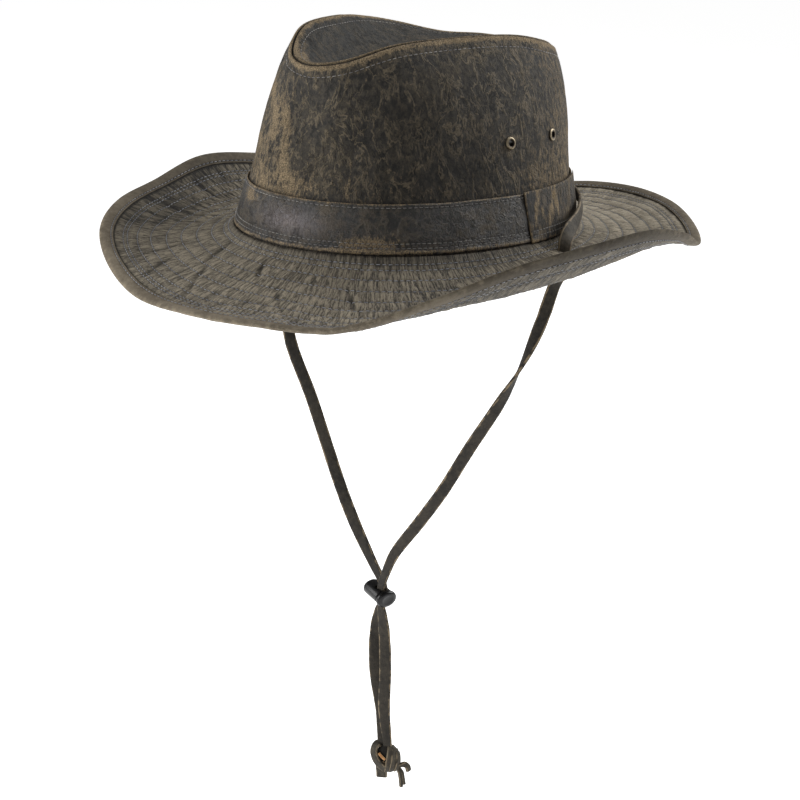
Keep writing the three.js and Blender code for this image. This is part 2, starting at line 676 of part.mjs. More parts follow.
// Knot: a lump with the cut ends of both straps.
const knotLump = new THREE.SphereGeometry(0.5, 12, 8);
knotLump.scale(knotWidth, knotDepth, knotHeight);
knotLump.translate(...knotPlace.toArray());
const tailRows = [
  [[4, 0, -3, -50], [10, -1, -5, -60], [15, -2, -2, -70]],
  [[4, 0, -4, -40], [9, -1, -8, -50], [12.5, -1.5, -15, -60]],
  [[-1, 0, -4, -50], [-2.4, -0.5, -8, -45], [-3, -0.5, -11, -40]],
];
const tails = tailRows.map((rows) =>
  strapBody(shares(4).map((share) => {
    const [x, y, z, face] = alongRows(rows, share);
    const normal = vector(Math.cos(radians(face)), Math.sin(radians(face)), 0);
    return { point: knotPlace.clone().add(vector(x, y, z)), normal, wide: 0.75 };
  })),
);
addPiece('strap_knot', join([knotLump, ...tails]), strapFinish);

export default hat;
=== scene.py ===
import math
import bpy
import bmesh
import numpy as np
from mathutils import Matrix, Vector, noise


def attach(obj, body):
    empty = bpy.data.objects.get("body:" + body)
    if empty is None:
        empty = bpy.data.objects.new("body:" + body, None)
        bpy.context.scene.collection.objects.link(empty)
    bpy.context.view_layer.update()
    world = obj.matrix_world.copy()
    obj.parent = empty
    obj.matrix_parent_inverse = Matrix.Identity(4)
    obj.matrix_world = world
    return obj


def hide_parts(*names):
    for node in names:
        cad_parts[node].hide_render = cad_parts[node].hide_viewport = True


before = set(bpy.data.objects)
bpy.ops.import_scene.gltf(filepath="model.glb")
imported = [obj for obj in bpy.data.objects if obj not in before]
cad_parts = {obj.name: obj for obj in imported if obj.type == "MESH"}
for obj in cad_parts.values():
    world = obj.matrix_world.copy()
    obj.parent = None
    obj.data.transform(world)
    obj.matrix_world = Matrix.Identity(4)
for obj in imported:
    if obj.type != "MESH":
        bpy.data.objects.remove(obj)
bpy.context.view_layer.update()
print("frame loaded")

# Sizes in mm, the same as in the part. +Z is up, the front is -Y, the wearer's left is +X.
hat = {
    "headLength": 203, "headWidth": 170, "crownHeight": 108, "brimWidth": 72,
    "cloth": 1.6, "brimThickness": 1.6, "bindingWidth": 9,
    "bandHeight": 25.2, "bandLift": 3.4, "seamGap": 0.3, "bulgeRise": 2.2, "curlFrom": 0.65, "tipRise": 0.8,
    "tapeSeen": 7.5,
}
# The crown's top edge from the front round to the back, both sides alike.
crownRows = np.array([
    # degrees, across, along, height, bulge, fall, trough, lopside
    [0, 0.0, -0.811, 0.887, -2.5, 2.6, 9, 0],
    [20, 0.223, -0.737, 0.918, 0.8, 2.6, 10, -0.003],
    [45, 0.409, -0.482, 1.009, 5, 2.4, 9, -0.012],
    [70, 0.561, -0.078, 1.023, 6, 2.2, 6, -0.005],
    [90, 0.638, 0.198, 0.999, 5.3, 2.2, 4, 0.007],
    [115, 0.625, 0.483, 0.942, 3.6, 2.2, 3, 0.007],
    [140, 0.473, 0.725, 0.882, 3.1, 2.4, 2, 0.007],
    [160, 0.273, 0.877, 0.87, 4.7, 2.6, 2, 0.003],
    [180, 0.0, 0.887, 0.868, 0.9, 2.8, 2, 0],
])
# The brim all the way round from the front by the wearer's left.
brimRows = np.array([
    # degrees, reach, slope, end, curl
    [0, 0.98, -0.392, -0.291, 0.014],
    [15, 1.001, -0.451, -0.235, -0.03],
    [30, 1.023, -0.543, -0.222, -0.011],
    [45, 1.047, -0.553, 0.037, -0.046],
    [60, 1.084, -0.527, 0.396, -0.179],
    [75, 1.097, -0.412, 0.513, -0.196],
    [90, 1.078, -0.274, 0.473, -0.138],
    [105, 1.038, -0.151, 0.326, -0.123],
    [120, 1.004, -0.128, 0.141, -0.13],
    [150, 0.886, -0.128, 0.18, -0.095],
    [180, 0.966, -0.238, 0.034, -0.019],
    [210, 0.971, -0.303, -0.2, -0.023],
    [240, 0.989, -0.315, 0.082, -0.001],
    [255, 1.006, -0.284, 0.232, -0.067],
    [270, 1.024, -0.257, 0.302, -0.096],
    [285, 1.035, -0.269, 0.179, -0.093],
    [300, 1.04, -0.275, 0.079, -0.044],
    [315, 1.026, -0.266, -0.016, -0.038],
    [330, 0.981, -0.27, -0.131, -0.057],
    [345, 0.958, -0.319, -0.256, -0.039],
])
dent = {"along": 0.04, "height": 0.87}
pinch = {"degrees": 33, "spread": 13, "from": 0.45, "depth": 1.2}
eyeletRows = [[81.6, 0.506], [105.8, 0.528]]
keeper = {"frontBottom": 90, "frontTop": 87, "back": 134}
strap = {"width": 7, "thickness": 2, "holeOffset": 11, "holeDegrees": 99, "holeTurn": 40}
slider = {
    "middle": (-0.6, -10.0, -218.2), "radius": 4.4, "widening": 1.25, "shift": -3,
    "direction": (0.952, -0.261, -0.176),
}
knot = {"middle": (5.2, 0.5, -100.8), "height": 16}

halfWidth = hat["headWidth"] / 2 + hat["cloth"]
halfLength = hat["headLength"] / 2 + hat["cloth"]

# The camera, at the photograph's angle.
view = {
    "azimuth": 40.106, "elevation": 16.537, "roll": 1.837, "distance": 1.3757, "lens": 109.27,
    "target": (-0.00014, -0.00012, -0.1026),
}
azimuth, elevation, roll = (math.radians(view[k]) for k in ("azimuth", "elevation", "roll"))
viewRight = Vector((math.cos(azimuth), math.sin(azimuth), 0))
level = math.cos(elevation)
viewBack = Vector((math.sin(azimuth) * level, -math.cos(azimuth) * level, math.sin(elevation)))
viewUp = viewBack.cross(viewRight)
rightTurned = viewRight * math.cos(roll) + viewUp * math.sin(roll)
upTurned = viewUp * math.cos(roll) - viewRight * math.sin(roll)
camera = bpy.data.objects.new("camera", bpy.data.cameras.new("camera"))
camera.data.lens, camera.data.sensor_width, camera.data.sensor_fit = view["lens"], 36, "HORIZONTAL"
pose = Matrix((rightTurned, upTurned, viewBack)).transposed().to_4x4()
pose.translation = Vector(view["target"]) + viewBack * view["distance"]
camera.matrix_world = pose
bpy.context.scene.collection.objects.link(camera)
bpy.context.scene.camera = camera
print("camera made")

# The hat's curves.

def unit(v):
    return v / np.maximum(np.linalg.norm(v, axis=-1, keepdims=True), 1e-9)


def stack(x, y, z):
    return np.stack(np.broadcast_arrays(x, y, z), -1).astype(float)


def turnFrom(degrees, middle):
    return (degrees - middle + 180) % 360 - 180


def hump(x, width):
    return np.exp(-((x / width) ** 2))


def smoothThrough(xs, ys, before, after, x):
    allX = np.concatenate([[before[0]], xs, [after[0]]])
    allY = np.concatenate([[before[1]], ys, [after[1]]])
    slopes = (allY[2:] - allY[:-2]) / (allX[2:] - allX[:-2])
    i = np.clip(np.searchsorted(xs, x, side="right") - 1, 0, len(xs) - 2)
    step = xs[i + 1] - xs[i]
    t = (x - xs[i]) / step
    fromStart = (2 * t**3 - 3 * t**2 + 1) * ys[i] + (t**3 - 2 * t**2 + t) * step * slopes[i]
    return fromStart + (3 * t**2 - 2 * t**3) * ys[i + 1] + (t**3 - t**2) * step * slopes[i + 1]


def crownValue(column, degrees):
    turned = (np.asarray(degrees, float) + 180) % 360 - 180
    xs, ys = crownRows[:, 0], crownRows[:, column]
    sign = -1 if column in (1, 7) else 1
    value = smoothThrough(xs, ys, (-xs[1], sign * ys[1]), (360 - xs[-2], sign * ys[-2]), np.abs(turned))
    return value * np.sign(turned) if sign < 0 else value


def brimValue(column, degrees):
    turned = np.asarray(degrees, float) % 360
    xs = np.append(brimRows[:, 0], 360.0)
    ys = np.append(brimRows[:, column], brimRows[0, column])
    before = (brimRows[-1, 0] - 360, brimRows[-1, column])
    return smoothThrough(xs, ys, before, (brimRows[1, 0] + 360, brimRows[1, column]), turned)


def alongRows(rows, share):
    rows = np.array(rows, float)
    n = len(rows) - 1
    xs = np.arange(n + 1.0)
    at = np.asarray(share, float) * n
    columns = []
    for c in range(rows.shape[1]):
        ys = rows[:, c]
        columns.append(smoothThrough(xs, ys, (-1, 2 * ys[0] - ys[1]), (n + 1, 2 * ys[n] - ys[n - 1]), at))
    return np.stack(columns, -1)


def ovalPoint(degrees):
    t = np.radians(degrees)
    return stack(halfWidth * np.sin(t), -halfLength * np.cos(t), 0 * t)


def outward(degrees):
    t = np.radians(degrees)
    return unit(stack(np.sin(t) / halfWidth, -np.cos(t) / halfLength, 0 * t))


def topHeight(degrees):
    return hat["crownHeight"] * (crownValue(3, degrees) + crownValue(7, degrees))


def topEdge(degrees):
    return stack(crownValue(1, degrees) * halfWidth, crownValue(2, degrees) * halfLength, topHeight(degrees))


def wallPoint(degrees, share):
    degrees, share = np.broadcast_arrays(np.asarray(degrees, float), np.asarray(share, float))
    start = ovalPoint(degrees)
    point = start + (topEdge(degrees) - start) * share[..., None]
    swell = crownValue(4, degrees) * np.sin(np.pi * np.clip(share, 0, 1) ** hat["bulgeRise"])
    turned = np.abs((degrees + 180) % 360 - 180)
    up = np.clip((share - pinch["from"]) / (1 - pinch["from"]), 0, 1)
    press = pinch["depth"] * hump(turned - pinch["degrees"], pinch["spread"]) * np.sin(np.pi * up) ** 2
    return point + outward(degrees) * (swell - press)[..., None]


def wallNormal(degrees, share):
    aside = wallPoint(degrees + 0.5, share) - wallPoint(degrees - 0.5, share)
    up = wallPoint(degrees, share + 0.01) - wallPoint(degrees, share - 0.01)
    return unit(np.cross(aside, up))


def wallShare(degrees, height):
    return height / topHeight(degrees)


def offWall(degrees, height, distance):
    share = wallShare(degrees, height)
    return wallPoint(degrees, share) + wallNormal(degrees, share) * np.asarray(distance, float)[..., None]


def brimPoint(degrees, share):
    degrees, share = np.broadcast_arrays(np.asarray(degrees, float), np.asarray(share, float))
    reach, slope, end, curl = (brimValue(c, degrees) for c in (1, 2, 3, 4))
    point = ovalPoint(degrees) + outward(degrees) * (hat["brimWidth"] * reach * share)[..., None]
    out = np.maximum(share, 0)
    curled = curl * (np.maximum(share - hat["curlFrom"], 0) / (1 - hat["curlFrom"])) ** 2
    point[..., 2] = hat["brimWidth"] * (slope * out + (end - slope) * out**3 + curled)
    return point


def brimNormal(degrees, share):
    aside = brimPoint(degrees + 0.5, share) - brimPoint(degrees - 0.5, share)
    out = brimPoint(degrees, share + 0.01) - brimPoint(degrees, share - 0.01)
    return unit(np.cross(out, aside))


def brimReach(degrees):
    return hat["brimWidth"] * brimValue(1, degrees)


def bumps(x, y, z):
    x, y, z = np.broadcast_arrays(x, y, z)
    spots = zip(x.ravel().tolist(), y.ravel().tolist(), z.ravel().tolist())
    flat = [noise.noise(spot) for spot in spots]
    return np.array(flat).reshape(x.shape)

# Making meshes.

def meshPiece(name, points, faces, finish, replaced=(), notes=None):
    mesh = bpy.data.meshes.new(name)
    mesh.from_pydata((np.asarray(points) * 0.001).tolist(), [], faces)
    mesh.validate()
    mesh.shade_smooth()
    for key, values in (notes or {}).items():
        kind = "FLOAT" if np.ndim(values) == 1 else "FLOAT_VECTOR"
        layer = mesh.attributes.new(key, kind, "POINT")
        layer.data.foreach_set("value" if kind == "FLOAT" else "vector", np.asarray(values, "f").ravel())
    piece = bpy.data.objects.new(name, mesh)
    bpy.context.scene.collection.objects.link(piece)
    mesh.materials.append(finish)
    facingOut(mesh)
    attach(piece, "root")
    if replaced:
        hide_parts(*replaced)
    return piece


def wornNotes(wear, shade, **more):
    return {"wear": np.clip(wear, 0, 1), "shade": np.clip(shade, 0, 1), **more}


def facingOut(mesh):
    shape = bmesh.new()
    shape.from_mesh(mesh)
    if shape.calc_volume(signed=True) < 0:
        bmesh.ops.reverse_faces(shape, faces=shape.faces)
        shape.to_mesh(mesh)
    shape.free()


def gridFaces(rows, columns, ringRows=True, ringColumns=True, start=0):
    r = np.arange(rows if ringRows else rows - 1)
    c = np.arange(columns if ringColumns else columns - 1)
    r, c = (g.ravel() for g in np.meshgrid(r, c, indexing="ij"))
    nextRow, nextColumn = (r + 1) % rows, (c + 1) % columns
    here, there = r * columns, nextRow * columns
    faces = np.stack([here + c, there + c, there + nextColumn, here + nextColumn], -1)
    return (faces + start).tolist()


def loopPiece(name, loops, finish, ring=True, replaced=(), notes=None):
    loops = np.asarray(loops)
    rows, columns = loops.shape[:2]
    faces = gridFaces(rows, columns, ringRows=ring)
    if not ring:
        faces += [list(range(columns)), [(rows - 1) * columns + k for k in reversed(range(columns))]]
    flatNotes = {k: np.asarray(v).reshape(rows * columns, -1).squeeze() for k, v in (notes or {}).items()}
    return meshPiece(name, loops.reshape(-1, 3), faces, finish, replaced, flatNotes)

# Finishes.

def tone(red, green, blue):
    linear = [(((v / 255) + 0.055) / 1.055) ** 2.4 if v > 10 else v / 3294.6 for v in (red, green, blue)]
    return (*linear, 1)


class Field:
    def __init__(self, finish, socket):
        self.finish = finish
        self.socket = socket

    def work(self, kind, other, flip=False):
        first, second = (other, self) if flip else (self, other)
        return self.finish.node("ShaderNodeMath", {"operation": kind}, {0: first, 1: second})

    def __add__(self, other):
        return self.work("ADD", other)

    __radd__ = __add__

    def __mul__(self, other):
        return self.work("MULTIPLY", other)

    __rmul__ = __mul__

    def __sub__(self, other):
        return self.work("SUBTRACT", other)

    def __rsub__(self, other):
        return self.work("SUBTRACT", other, True)

    def __abs__(self):
        return self.finish.node("ShaderNodeMath", {"operation": "ABSOLUTE"}, {0: self})

    def clipped(self):
        return self.finish.node("ShaderNodeClamp", {}, {"Value": self})

    def between(self, low, high):
        settings = {"interpolation_type": "SMOOTHSTEP"}
        sockets = {"Value": self, "From Min": low, "From Max": high}
        return self.finish.node("ShaderNodeMapRange", settings, sockets)


class Finish:
    def __init__(self, name):
        self.material = bpy.data.materials.new(name)
        self.material.use_nodes = True
        self.tree = self.material.node_tree
        self.tree.nodes.clear()
        self.place = self.node("ShaderNodeTexCoord", {}, {}, "Object")

    def node(self, kind, settings=None, sockets=None, output=0):
        made = self.tree.nodes.new(kind)
        for key, value in (settings or {}).items():
            setattr(made, key, value)
        for key, value in (sockets or {}).items():
            if isinstance(value, Field):
                self.tree.links.new(value.socket, made.inputs[key])
            else:
                made.inputs[key].default_value = value
        return Field(self, made.outputs[output])

    def noise(self, scale, detail=3, rough=0.55, warp=0.0, place=None):
        return self.node("ShaderNodeTexNoise", {}, {
            "Vector": place or self.place, "Scale": scale, "Detail": detail, "Roughness": rough,
            "Distortion": warp,
        }, "Fac")

    # Stretches what a noise draws along Z, or along the third value of another place.
    def stretched(self, share, place=None):
        sockets = {0: place or self.place, 1: (1, 1, share)}
        return self.node("ShaderNodeVectorMath", {"operation": "MULTIPLY"}, sockets, "Vector")

    def note(self, name, output="Fac"):
        return self.node("ShaderNodeAttribute", {"attribute_name": name}, {}, output)

    def mix(self, share, first, second):
        made = self.tree.nodes.new("ShaderNodeMix")
        made.data_type = "RGBA"
        ends = [s for s in made.inputs if s.type == "RGBA"]
        for socket, value in ((made.inputs[0], share), (ends[0], first), (ends[1], second)):
            if isinstance(value, Field):
                self.tree.links.new(value.socket, socket)
            else:
                socket.default_value = value
        return Field(self, [s for s in made.outputs if s.type == "RGBA"][0])

    def bump(self, height, distance, strength=1.0, under=None):
        sockets = {"Height": height, "Distance": distance, "Strength": strength}
        if under is not None:
            sockets["Normal"] = under
        return self.node("ShaderNodeBump", {}, sockets, "Normal")

    def done(self, colour, roughness, normal=None, **more):
        sockets = {"Base Color": colour, "Roughness": roughness}
        if normal is not None:
            sockets["Normal"] = normal
        sockets.update({key.replace("_", " "): value for key, value in more.items()})
        surface = self.node("ShaderNodeBsdfPrincipled", {}, sockets)
        out = self.tree.nodes.new("ShaderNodeOutputMaterial")
        self.tree.links.new(surface.socket, out.inputs["Surface"])
        return self.material


# Fine light lines where a noise passes its middle value, like the crackle of worn cloth.
def crackle(finish, scale, width, place, detail=4, warp=0.15):
    lines = abs(finish.noise(scale, detail, 0.62, warp, place) - 0.5)
    return 1 - lines.between(0.0, width)


def wornCotton(name, look):
    f = Finish(name)
    upright = f.stretched(look["upright"])
    cloud = f.noise(look["cloud"], 3, 0.6, 0.0, upright)
    mottle = f.noise(look["mottle"], 6, 0.72, 0.1, f.stretched(look["mottleUpright"]))
    stain = f.noise(look["stain"], 5, 0.65, 0.4, f.stretched(look["mottleUpright"]))
    stain = stain * 0.75 + mottle * 0.25
    streak = f.noise(look["streak"], 4, 0.6, 0.0, f.stretched(look["upright"] * 0.4))
    grain = f.noise(1500, 3, 0.6)
    weave = f.noise(3200, 2, 0.5)
    broken = f.noise(look["broken"], 3, 0.6).between(0.42, 0.62)
    veins = crackle(f, look["veins"], 0.05, upright, 4, 0.5) * broken
    veins = (veins + crackle(f, look["veins"] * 0.5, 0.026, upright, 5, 0.6) * (1.1 - broken)).clipped()
    cracks = crackle(f, look["veins"] * 0.6, 0.024, upright, 5, 0.9) * broken
    streaks = streak.between(0.55, 0.7) * (0.35 + broken * 0.65)
    colour = f.mix(mottle.between(0.38, 0.62), look["dark"], look["mid"])
    patches = (cloud * 0.55 + mottle * 0.45).between(look["patchLow"], look["patchHigh"])
    colour = f.mix(patches * look["patch"], colour, look["worn"])
    colour = f.mix((stain.between(0.5, 0.62) * look["stainShare"]).clipped(), colour, look["worn"])
    colour = f.mix((streaks * look["streakShare"]).clipped(), colour, look["vein"])
    colour = f.mix((veins * look["veinShare"]).clipped(), colour, look["vein"])
    colour = f.mix((cracks * look["crackShare"]).clipped(), colour, look["deep"])
    ragged = (f.note("wear") + (mottle - 0.5) * 1.7 + (streak - 0.5) * 1.7).between(0.34, 0.96)
    rubbed = f.mix(grain.between(0.35, 0.65), look["edge"], look["worn"])
    colour = f.mix((ragged * look["edgeShare"]).clipped(), colour, rubbed)
    # Painted sheen: a lamp's reflection on the band's front is painted in as a pale purple-grey, and the same
    # mask lowers the roughness there.
    sheen = f.note("sheen") * (0.5 + mottle)
    colour = f.mix((sheen * 0.6).clipped(), colour, look["sheenTone"])
    colour = f.mix((f.note("shade") * look["shade"]).clipped(), colour, look["deep"])
    colour = f.mix(grain.between(0.4, 0.7) * 0.35, colour, look["dark"])
    rough = look["rough"] - patches * look["roughDrop"] + grain * 0.16 + ragged * 0.15 - sheen * 0.2
    rough = rough.clipped()
    height = veins * 0.4 + streaks * 0.5 + mottle * 1.3 - cracks * 0.6
    normal = f.bump(height, look["relief"], 0.9)
    normal = f.bump(weave * 0.5 + grain * 0.6, 0.0003, 0.6, normal)
    return f.done(colour, rough, normal, Specular_IOR_Level=look["gloss"])


# The brim's cloth is drawn up between its rows of stitches, so its tones and its relief run outwards.
def puckeredCotton(name, look):
    f = Finish(name)
    loom = f.note("loom", "Vector")
    outwards = f.stretched(look["outwards"], loom)
    ridge = f.noise(look["ridge"], 4, 0.6, 0.35, outwards)
    fine = f.noise(look["fine"], 3, 0.65, 0.2, outwards)
    cloud = f.noise(24, 4, 0.6)
    mottle = f.noise(240, 5, 0.7)
    grain = f.noise(1500, 3, 0.6)
    raised = f.note("wear")
    valleys = abs(ridge - 0.5).between(0.0, 0.1) * 0.55 + abs(fine - 0.5).between(0.0, 0.14) * 0.45
    light = valleys * 0.8 + ridge * 0.3 + mottle * 0.25 - 0.12 + (raised - 0.45) * look["raised"]
    light = light.between(0.06, 0.9)
    colour = f.mix(light, look["valley"], look["ridgeTone"])
    colour = f.mix(cloud.between(0.4, 0.68) * look["patch"], colour, look["dark"])
    pale = crackle(f, 170, 0.02, f.place) * mottle.between(0.48, 0.65) * 0.5
    colour = f.mix(pale.clipped(), colour, look["pale"])
    # Painted light: the brim's back, and less so its front, is mixed towards a pale tone.
    bleached = f.note("bleach") * (0.55 + light * 0.6) + (mottle - 0.5) * 0.3 * f.note("bleach")
    colour = f.mix(bleached.clipped(), colour, look["bleached"])
    colour = f.mix(grain.between(0.4, 0.7) * 0.3, colour, look["valley"])
    # Painted shade: a dark line along each row of stitches, in the groove the stitches pull into the cloth.
    colour = f.mix((f.note("row") * look["row"]).clipped(), colour, look["thread"])
    colour = f.mix((f.note("shade") * 0.92).clipped(), colour, look["deep"])
    normal = f.bump(abs(ridge - 0.5) * 2.2 + abs(fine - 0.5) * 1.4 + mottle * 0.25, look["relief"], 0.9)
    normal = f.bump(f.noise(3200, 2, 0.5) * 0.5 + grain * 0.6, 0.0003, 0.6, normal)
    return f.done(colour, 0.66 + grain * 0.2, normal, Specular_IOR_Level=look["gloss"])


crownLook = {
    "dark": tone(36, 35, 33), "mid": tone(66, 62, 56), "worn": tone(102, 91, 73), "vein": tone(124, 112, 92),
    "edge": tone(158, 138, 108), "deep": tone(15, 14, 13), "sheenTone": tone(128, 119, 120),
    "cloud": 34, "mottle": 380, "streak": 800, "veins": 155, "broken": 70, "stain": 160,
    "upright": 0.5, "mottleUpright": 0.75, "patchLow": 0.5, "patchHigh": 0.6, "patch": 0.16,
    "stainShare": 0.2, "streakShare": 0.4, "veinShare": 0.7, "crackShare": 0.5, "edgeShare": 0.9,
    "shade": 0.9, "rough": 0.62, "roughDrop": -0.08, "relief": 0.0008, "gloss": 0.22,
}
tipLook = dict(
    crownLook, dark=tone(37, 37, 36), mid=tone(58, 57, 55), cloud=24, mottle=260,
    upright=1.0, mottleUpright=1.0, patch=0.25, streakShare=0.14, veinShare=0.2, crackShare=0.15,
)
# In the brim's look, the near-black thread tone is painted shade along the grooves of the stitch rows, and
# the tone listed just before it is painted light.
brimLook = {
    "valley": tone(30, 28, 26), "ridgeTone": tone(150, 140, 121), "dark": tone(60, 56, 50),
    "pale": tone(172, 158, 134), "bleached": tone(178, 168, 149), "thread": tone(46, 45, 44),
    "deep": tone(18, 17, 16), "ridge": 0.4, "fine": 0.85, "outwards": 0.17, "raised": 0.12, "patch": 0.22,
    "row": 0.7, "relief": 0.0016, "gloss": 0.25,
}
bandLook = dict(
    crownLook, dark=tone(29, 28, 27), mid=tone(56, 53, 48), worn=tone(94, 84, 69), vein=tone(108, 98, 82),
    edge=tone(162, 140, 106), cloud=60, mottle=300, stain=90, upright=1.0, mottleUpright=1.0,
    patchLow=0.5, patchHigh=0.62, patch=0.45, stainShare=0.6, streakShare=0.1, veinShare=0.45, crackShare=0.4,
    rough=0.36, roughDrop=-0.25, relief=0.0009, gloss=0.42,
)
keeperLook = dict(
    bandLook, worn=tone(120, 107, 87), cloud=150, mottle=420, upright=0.3, mottleUpright=0.4,
    patchLow=0.47, patchHigh=0.6, patch=0.75, streakShare=0.5, rough=0.5, gloss=0.3,
)


def plainTape(name, look):
    f = Finish(name)
    large = f.noise(30, 4, 0.65, 0.2)
    middle = f.noise(260, 4, 0.65)
    fine = f.noise(1300, 3, 0.65)
    colour = f.mix((large * 0.5 + middle * 0.5).between(0.38, 0.62), look["dark"], look["mid"])
    colour = f.mix(fine.between(0.4, 0.7) * 0.4, colour, look["dark"])
    ragged = (f.note("wear") + (middle - 0.5) * 1.6 + (fine - 0.5) * 0.8).between(0.32, 0.9)
    colour = f.mix(ragged, colour, look["edge"])
    colour = f.mix((f.note("shade") * 0.9).clipped(), colour, look["deep"])
    normal = f.bump(middle, 0.0007, 0.8)
    normal = f.bump(f.noise(3000, 2, 0.5) * 0.6 + fine * 0.5, 0.0003, 0.6, normal)
    return f.done(colour, 0.6 + fine * 0.2, normal, Specular_IOR_Level=look["gloss"])


tapeLook = {
    "dark": tone(98, 90, 78), "mid": tone(126, 117, 102), "edge": tone(142, 131, 112),
    "deep": tone(16, 15, 14), "gloss": 0.08,
}
laceLook = {
    "dark": tone(34, 31, 27), "mid": tone(56, 51, 43), "edge": tone(124, 109, 86), "deep": tone(14, 13, 12),
    "gloss": 0.28,
}
knotLook = dict(laceLook, dark=tone(52, 48, 41), mid=tone(86, 79, 67), edge=tone(122, 109, 89))
rawLook = dict(laceLook, dark=tone(150, 100, 56), mid=tone(206, 158, 108), edge=tone(222, 184, 138))


def threadFinish(name, first, second):
    f = Finish(name)
    strands = f.noise(1500, 2, 0.5)
    colour = f.mix(f.noise(90, 2).between(0.35, 0.65), first, second)
    return f.done(colour, 0.6 + strands * 0.15, f.bump(strands, 0.0001, 0.6))


def brassFinish(name):
    f = Finish(name)
    stain = f.noise(1100, 4, 0.6)
    colour = f.mix(stain.between(0.35, 0.68), tone(70, 60, 47), tone(116, 103, 83))
    colour = f.mix((f.note("wear") * 0.8).clipped(), colour, tone(174, 160, 134))
    colour = f.mix((f.note("shade") * 0.97).clipped(), colour, tone(14, 12, 10))
    return f.done(colour, 0.34 + stain * 0.2, f.bump(stain, 0.00008, 0.5), Metallic=0.8)


def plasticFinish(name):
    f = Finish(name)
    haze = f.noise(300, 3, 0.6)
    marks = crackle(f, 520, 0.02, f.place, 2, 0.6) * f.noise(140, 2).between(0.5, 0.7)
    colour = f.mix(haze.between(0.4, 0.7), tone(9, 9, 10), tone(18, 18, 20))
    colour = f.mix((marks * 0.3).clipped(), colour, tone(56, 57, 61))
    rough = 0.24 + haze * 0.14 + marks * 0.15
    return f.done(colour, rough, f.bump(haze, 0.00005, 0.35), Specular_IOR_Level=0.35)


finishes = {
    "crown": wornCotton("worn_crown_cotton", crownLook),
    "tip": wornCotton("worn_tip_cotton", tipLook),
    "brim": puckeredCotton("worn_brim_cotton", brimLook),
    "band": wornCotton("worn_band_cotton", bandLook),
    "keeper": wornCotton("worn_keeper_cotton", keeperLook),
    "tape": plainTape("binding_tape", tapeLook),
    "lace": plainTape("strap_lace", laceLook),
    "knot": plainTape("knotted_lace", knotLook),
    "raw": plainTape("raw_lace_end", rawLook),
    "thread": threadFinish("grey_blue_thread", tone(108, 110, 117), tone(146, 147, 151)),
    "paleThread": threadFinish("pale_thread", tone(108, 106, 106), tone(150, 146, 140)),
    "brass": brassFinish("antique_brass"),
    "plastic": plasticFinish("black_plastic"),
}
print("finishes made")

# Cutters for the holes.

def basisAlong(direction, at, up=(0, 0, 1)):
    z = Vector(direction).normalized()
    x = Vector(up).cross(z).normalized()
    y = z.cross(x)
    made = Matrix((x, y, z)).transposed().to_4x4()
    made.translation = Vector(at)
    return made


def cutWith(piece, cutters):
    for cutter in cutters:
        change = piece.modifiers.new("cut", "BOOLEAN")
        change.operation, change.object, change.solver = "DIFFERENCE", cutter, "EXACT"
    shaped = bpy.data.meshes.new_from_object(piece.evaluated_get(bpy.context.evaluated_depsgraph_get()))
    piece.modifiers.clear()
    old, piece.data = piece.data, shaped
    bpy.data.meshes.remove(old)
    for cutter in cutters:
        bpy.data.objects.remove(cutter)
    piece.data.shade_smooth()


def cutterFrom(shape):
    mesh = bpy.data.meshes.new("cutter")
    shape.to_mesh(mesh)
    shape.free()
    made = bpy.data.objects.new("cutter", mesh)
    bpy.context.scene.collection.objects.link(made)
    return made


def rod(radius, length, place):
    shape = bmesh.new()
    bmesh.ops.create_cone(shape, cap_ends=True, segments=32, radius1=radius, radius2=radius, depth=length,
                          matrix=place)
    return cutterFrom(shape)


def block(size, place):
    shape = bmesh.new()
    bmesh.ops.create_cube(shape, size=1)
    bmesh.ops.transform(shape, matrix=place @ Matrix.Diagonal((*size, 1)), verts=shape.verts)
    return cutterFrom(shape)


# The brim's slots and the slider's passage, in metres.
slotSize = (0.0082, 0.0032, 0.016)
passageSize = (0.0064, 0.0055, 0.02)


def brimSlot(at, out):
    place = Matrix(((-out[1], out[0], 0), tuple(-out), (0, 0, 1))).transposed().to_4x4()
    place.translation = Vector(at * 0.001)
    return block(slotSize, place)


# The strap and its holes through the brim.

strapHoles = []
for side in (1, -1):
    degrees = np.array(side * strap["holeDegrees"])
    share = strap["holeOffset"] / brimReach(degrees)
    facing = outward(degrees)
    turned = math.atan2(facing[1], facing[0]) - math.radians(side * strap["holeTurn"])
    strapHoles.append((brimPoint(degrees, share), np.array([math.cos(turned), math.sin(turned), 0])))


leftRoute = [
    # x, y, z, facing, wide
    [91.8, 16.0, -22.7, -36, 1], [89.4, 9.5, -41.8, -66, 1], [83.5, 3.0, -64.1, -132, 0.95],
    [72.5, -2.5, -89.0, -205, 1], [56.1, -6.0, -117.2, -228, 1], [40.2, -8.0, -144.9, -232, 1],
    [25.2, -9.4, -167.0, -240, 1], [9.2, -10.6, -189.0, -258, 0.9], [2.6, -11.2, -203.5, -268, 0.8],
]
rightRoute = [
    # x, y, z, facing, wide
    [-93.3, 14.8, -24.0, 152, 1], [-91.7, 6.1, -47.0, 140, 1], [-82.2, -5.0, -78.7, 132, 1],
    [-58.3, -9.8, -113.3, 130, 1], [-35.8, -10.9, -156.0, 128, 1], [-23.0, -10.6, -178.7, 118, 1],
    [-9.8, -9.6, -199.0, 100, 0.9], [-3.2, -8.9, -208.5, 92, 0.8],
]
leftTail = [
    # x, y, z, facing, wide
    [2.4, -1.4, -14, -262, 0.95], [4.2, -1.2, -28, -246, 1], [4.8, -0.6, -48, -240, 1],
    [4.6, -0.4, -70, -244, 1],
]
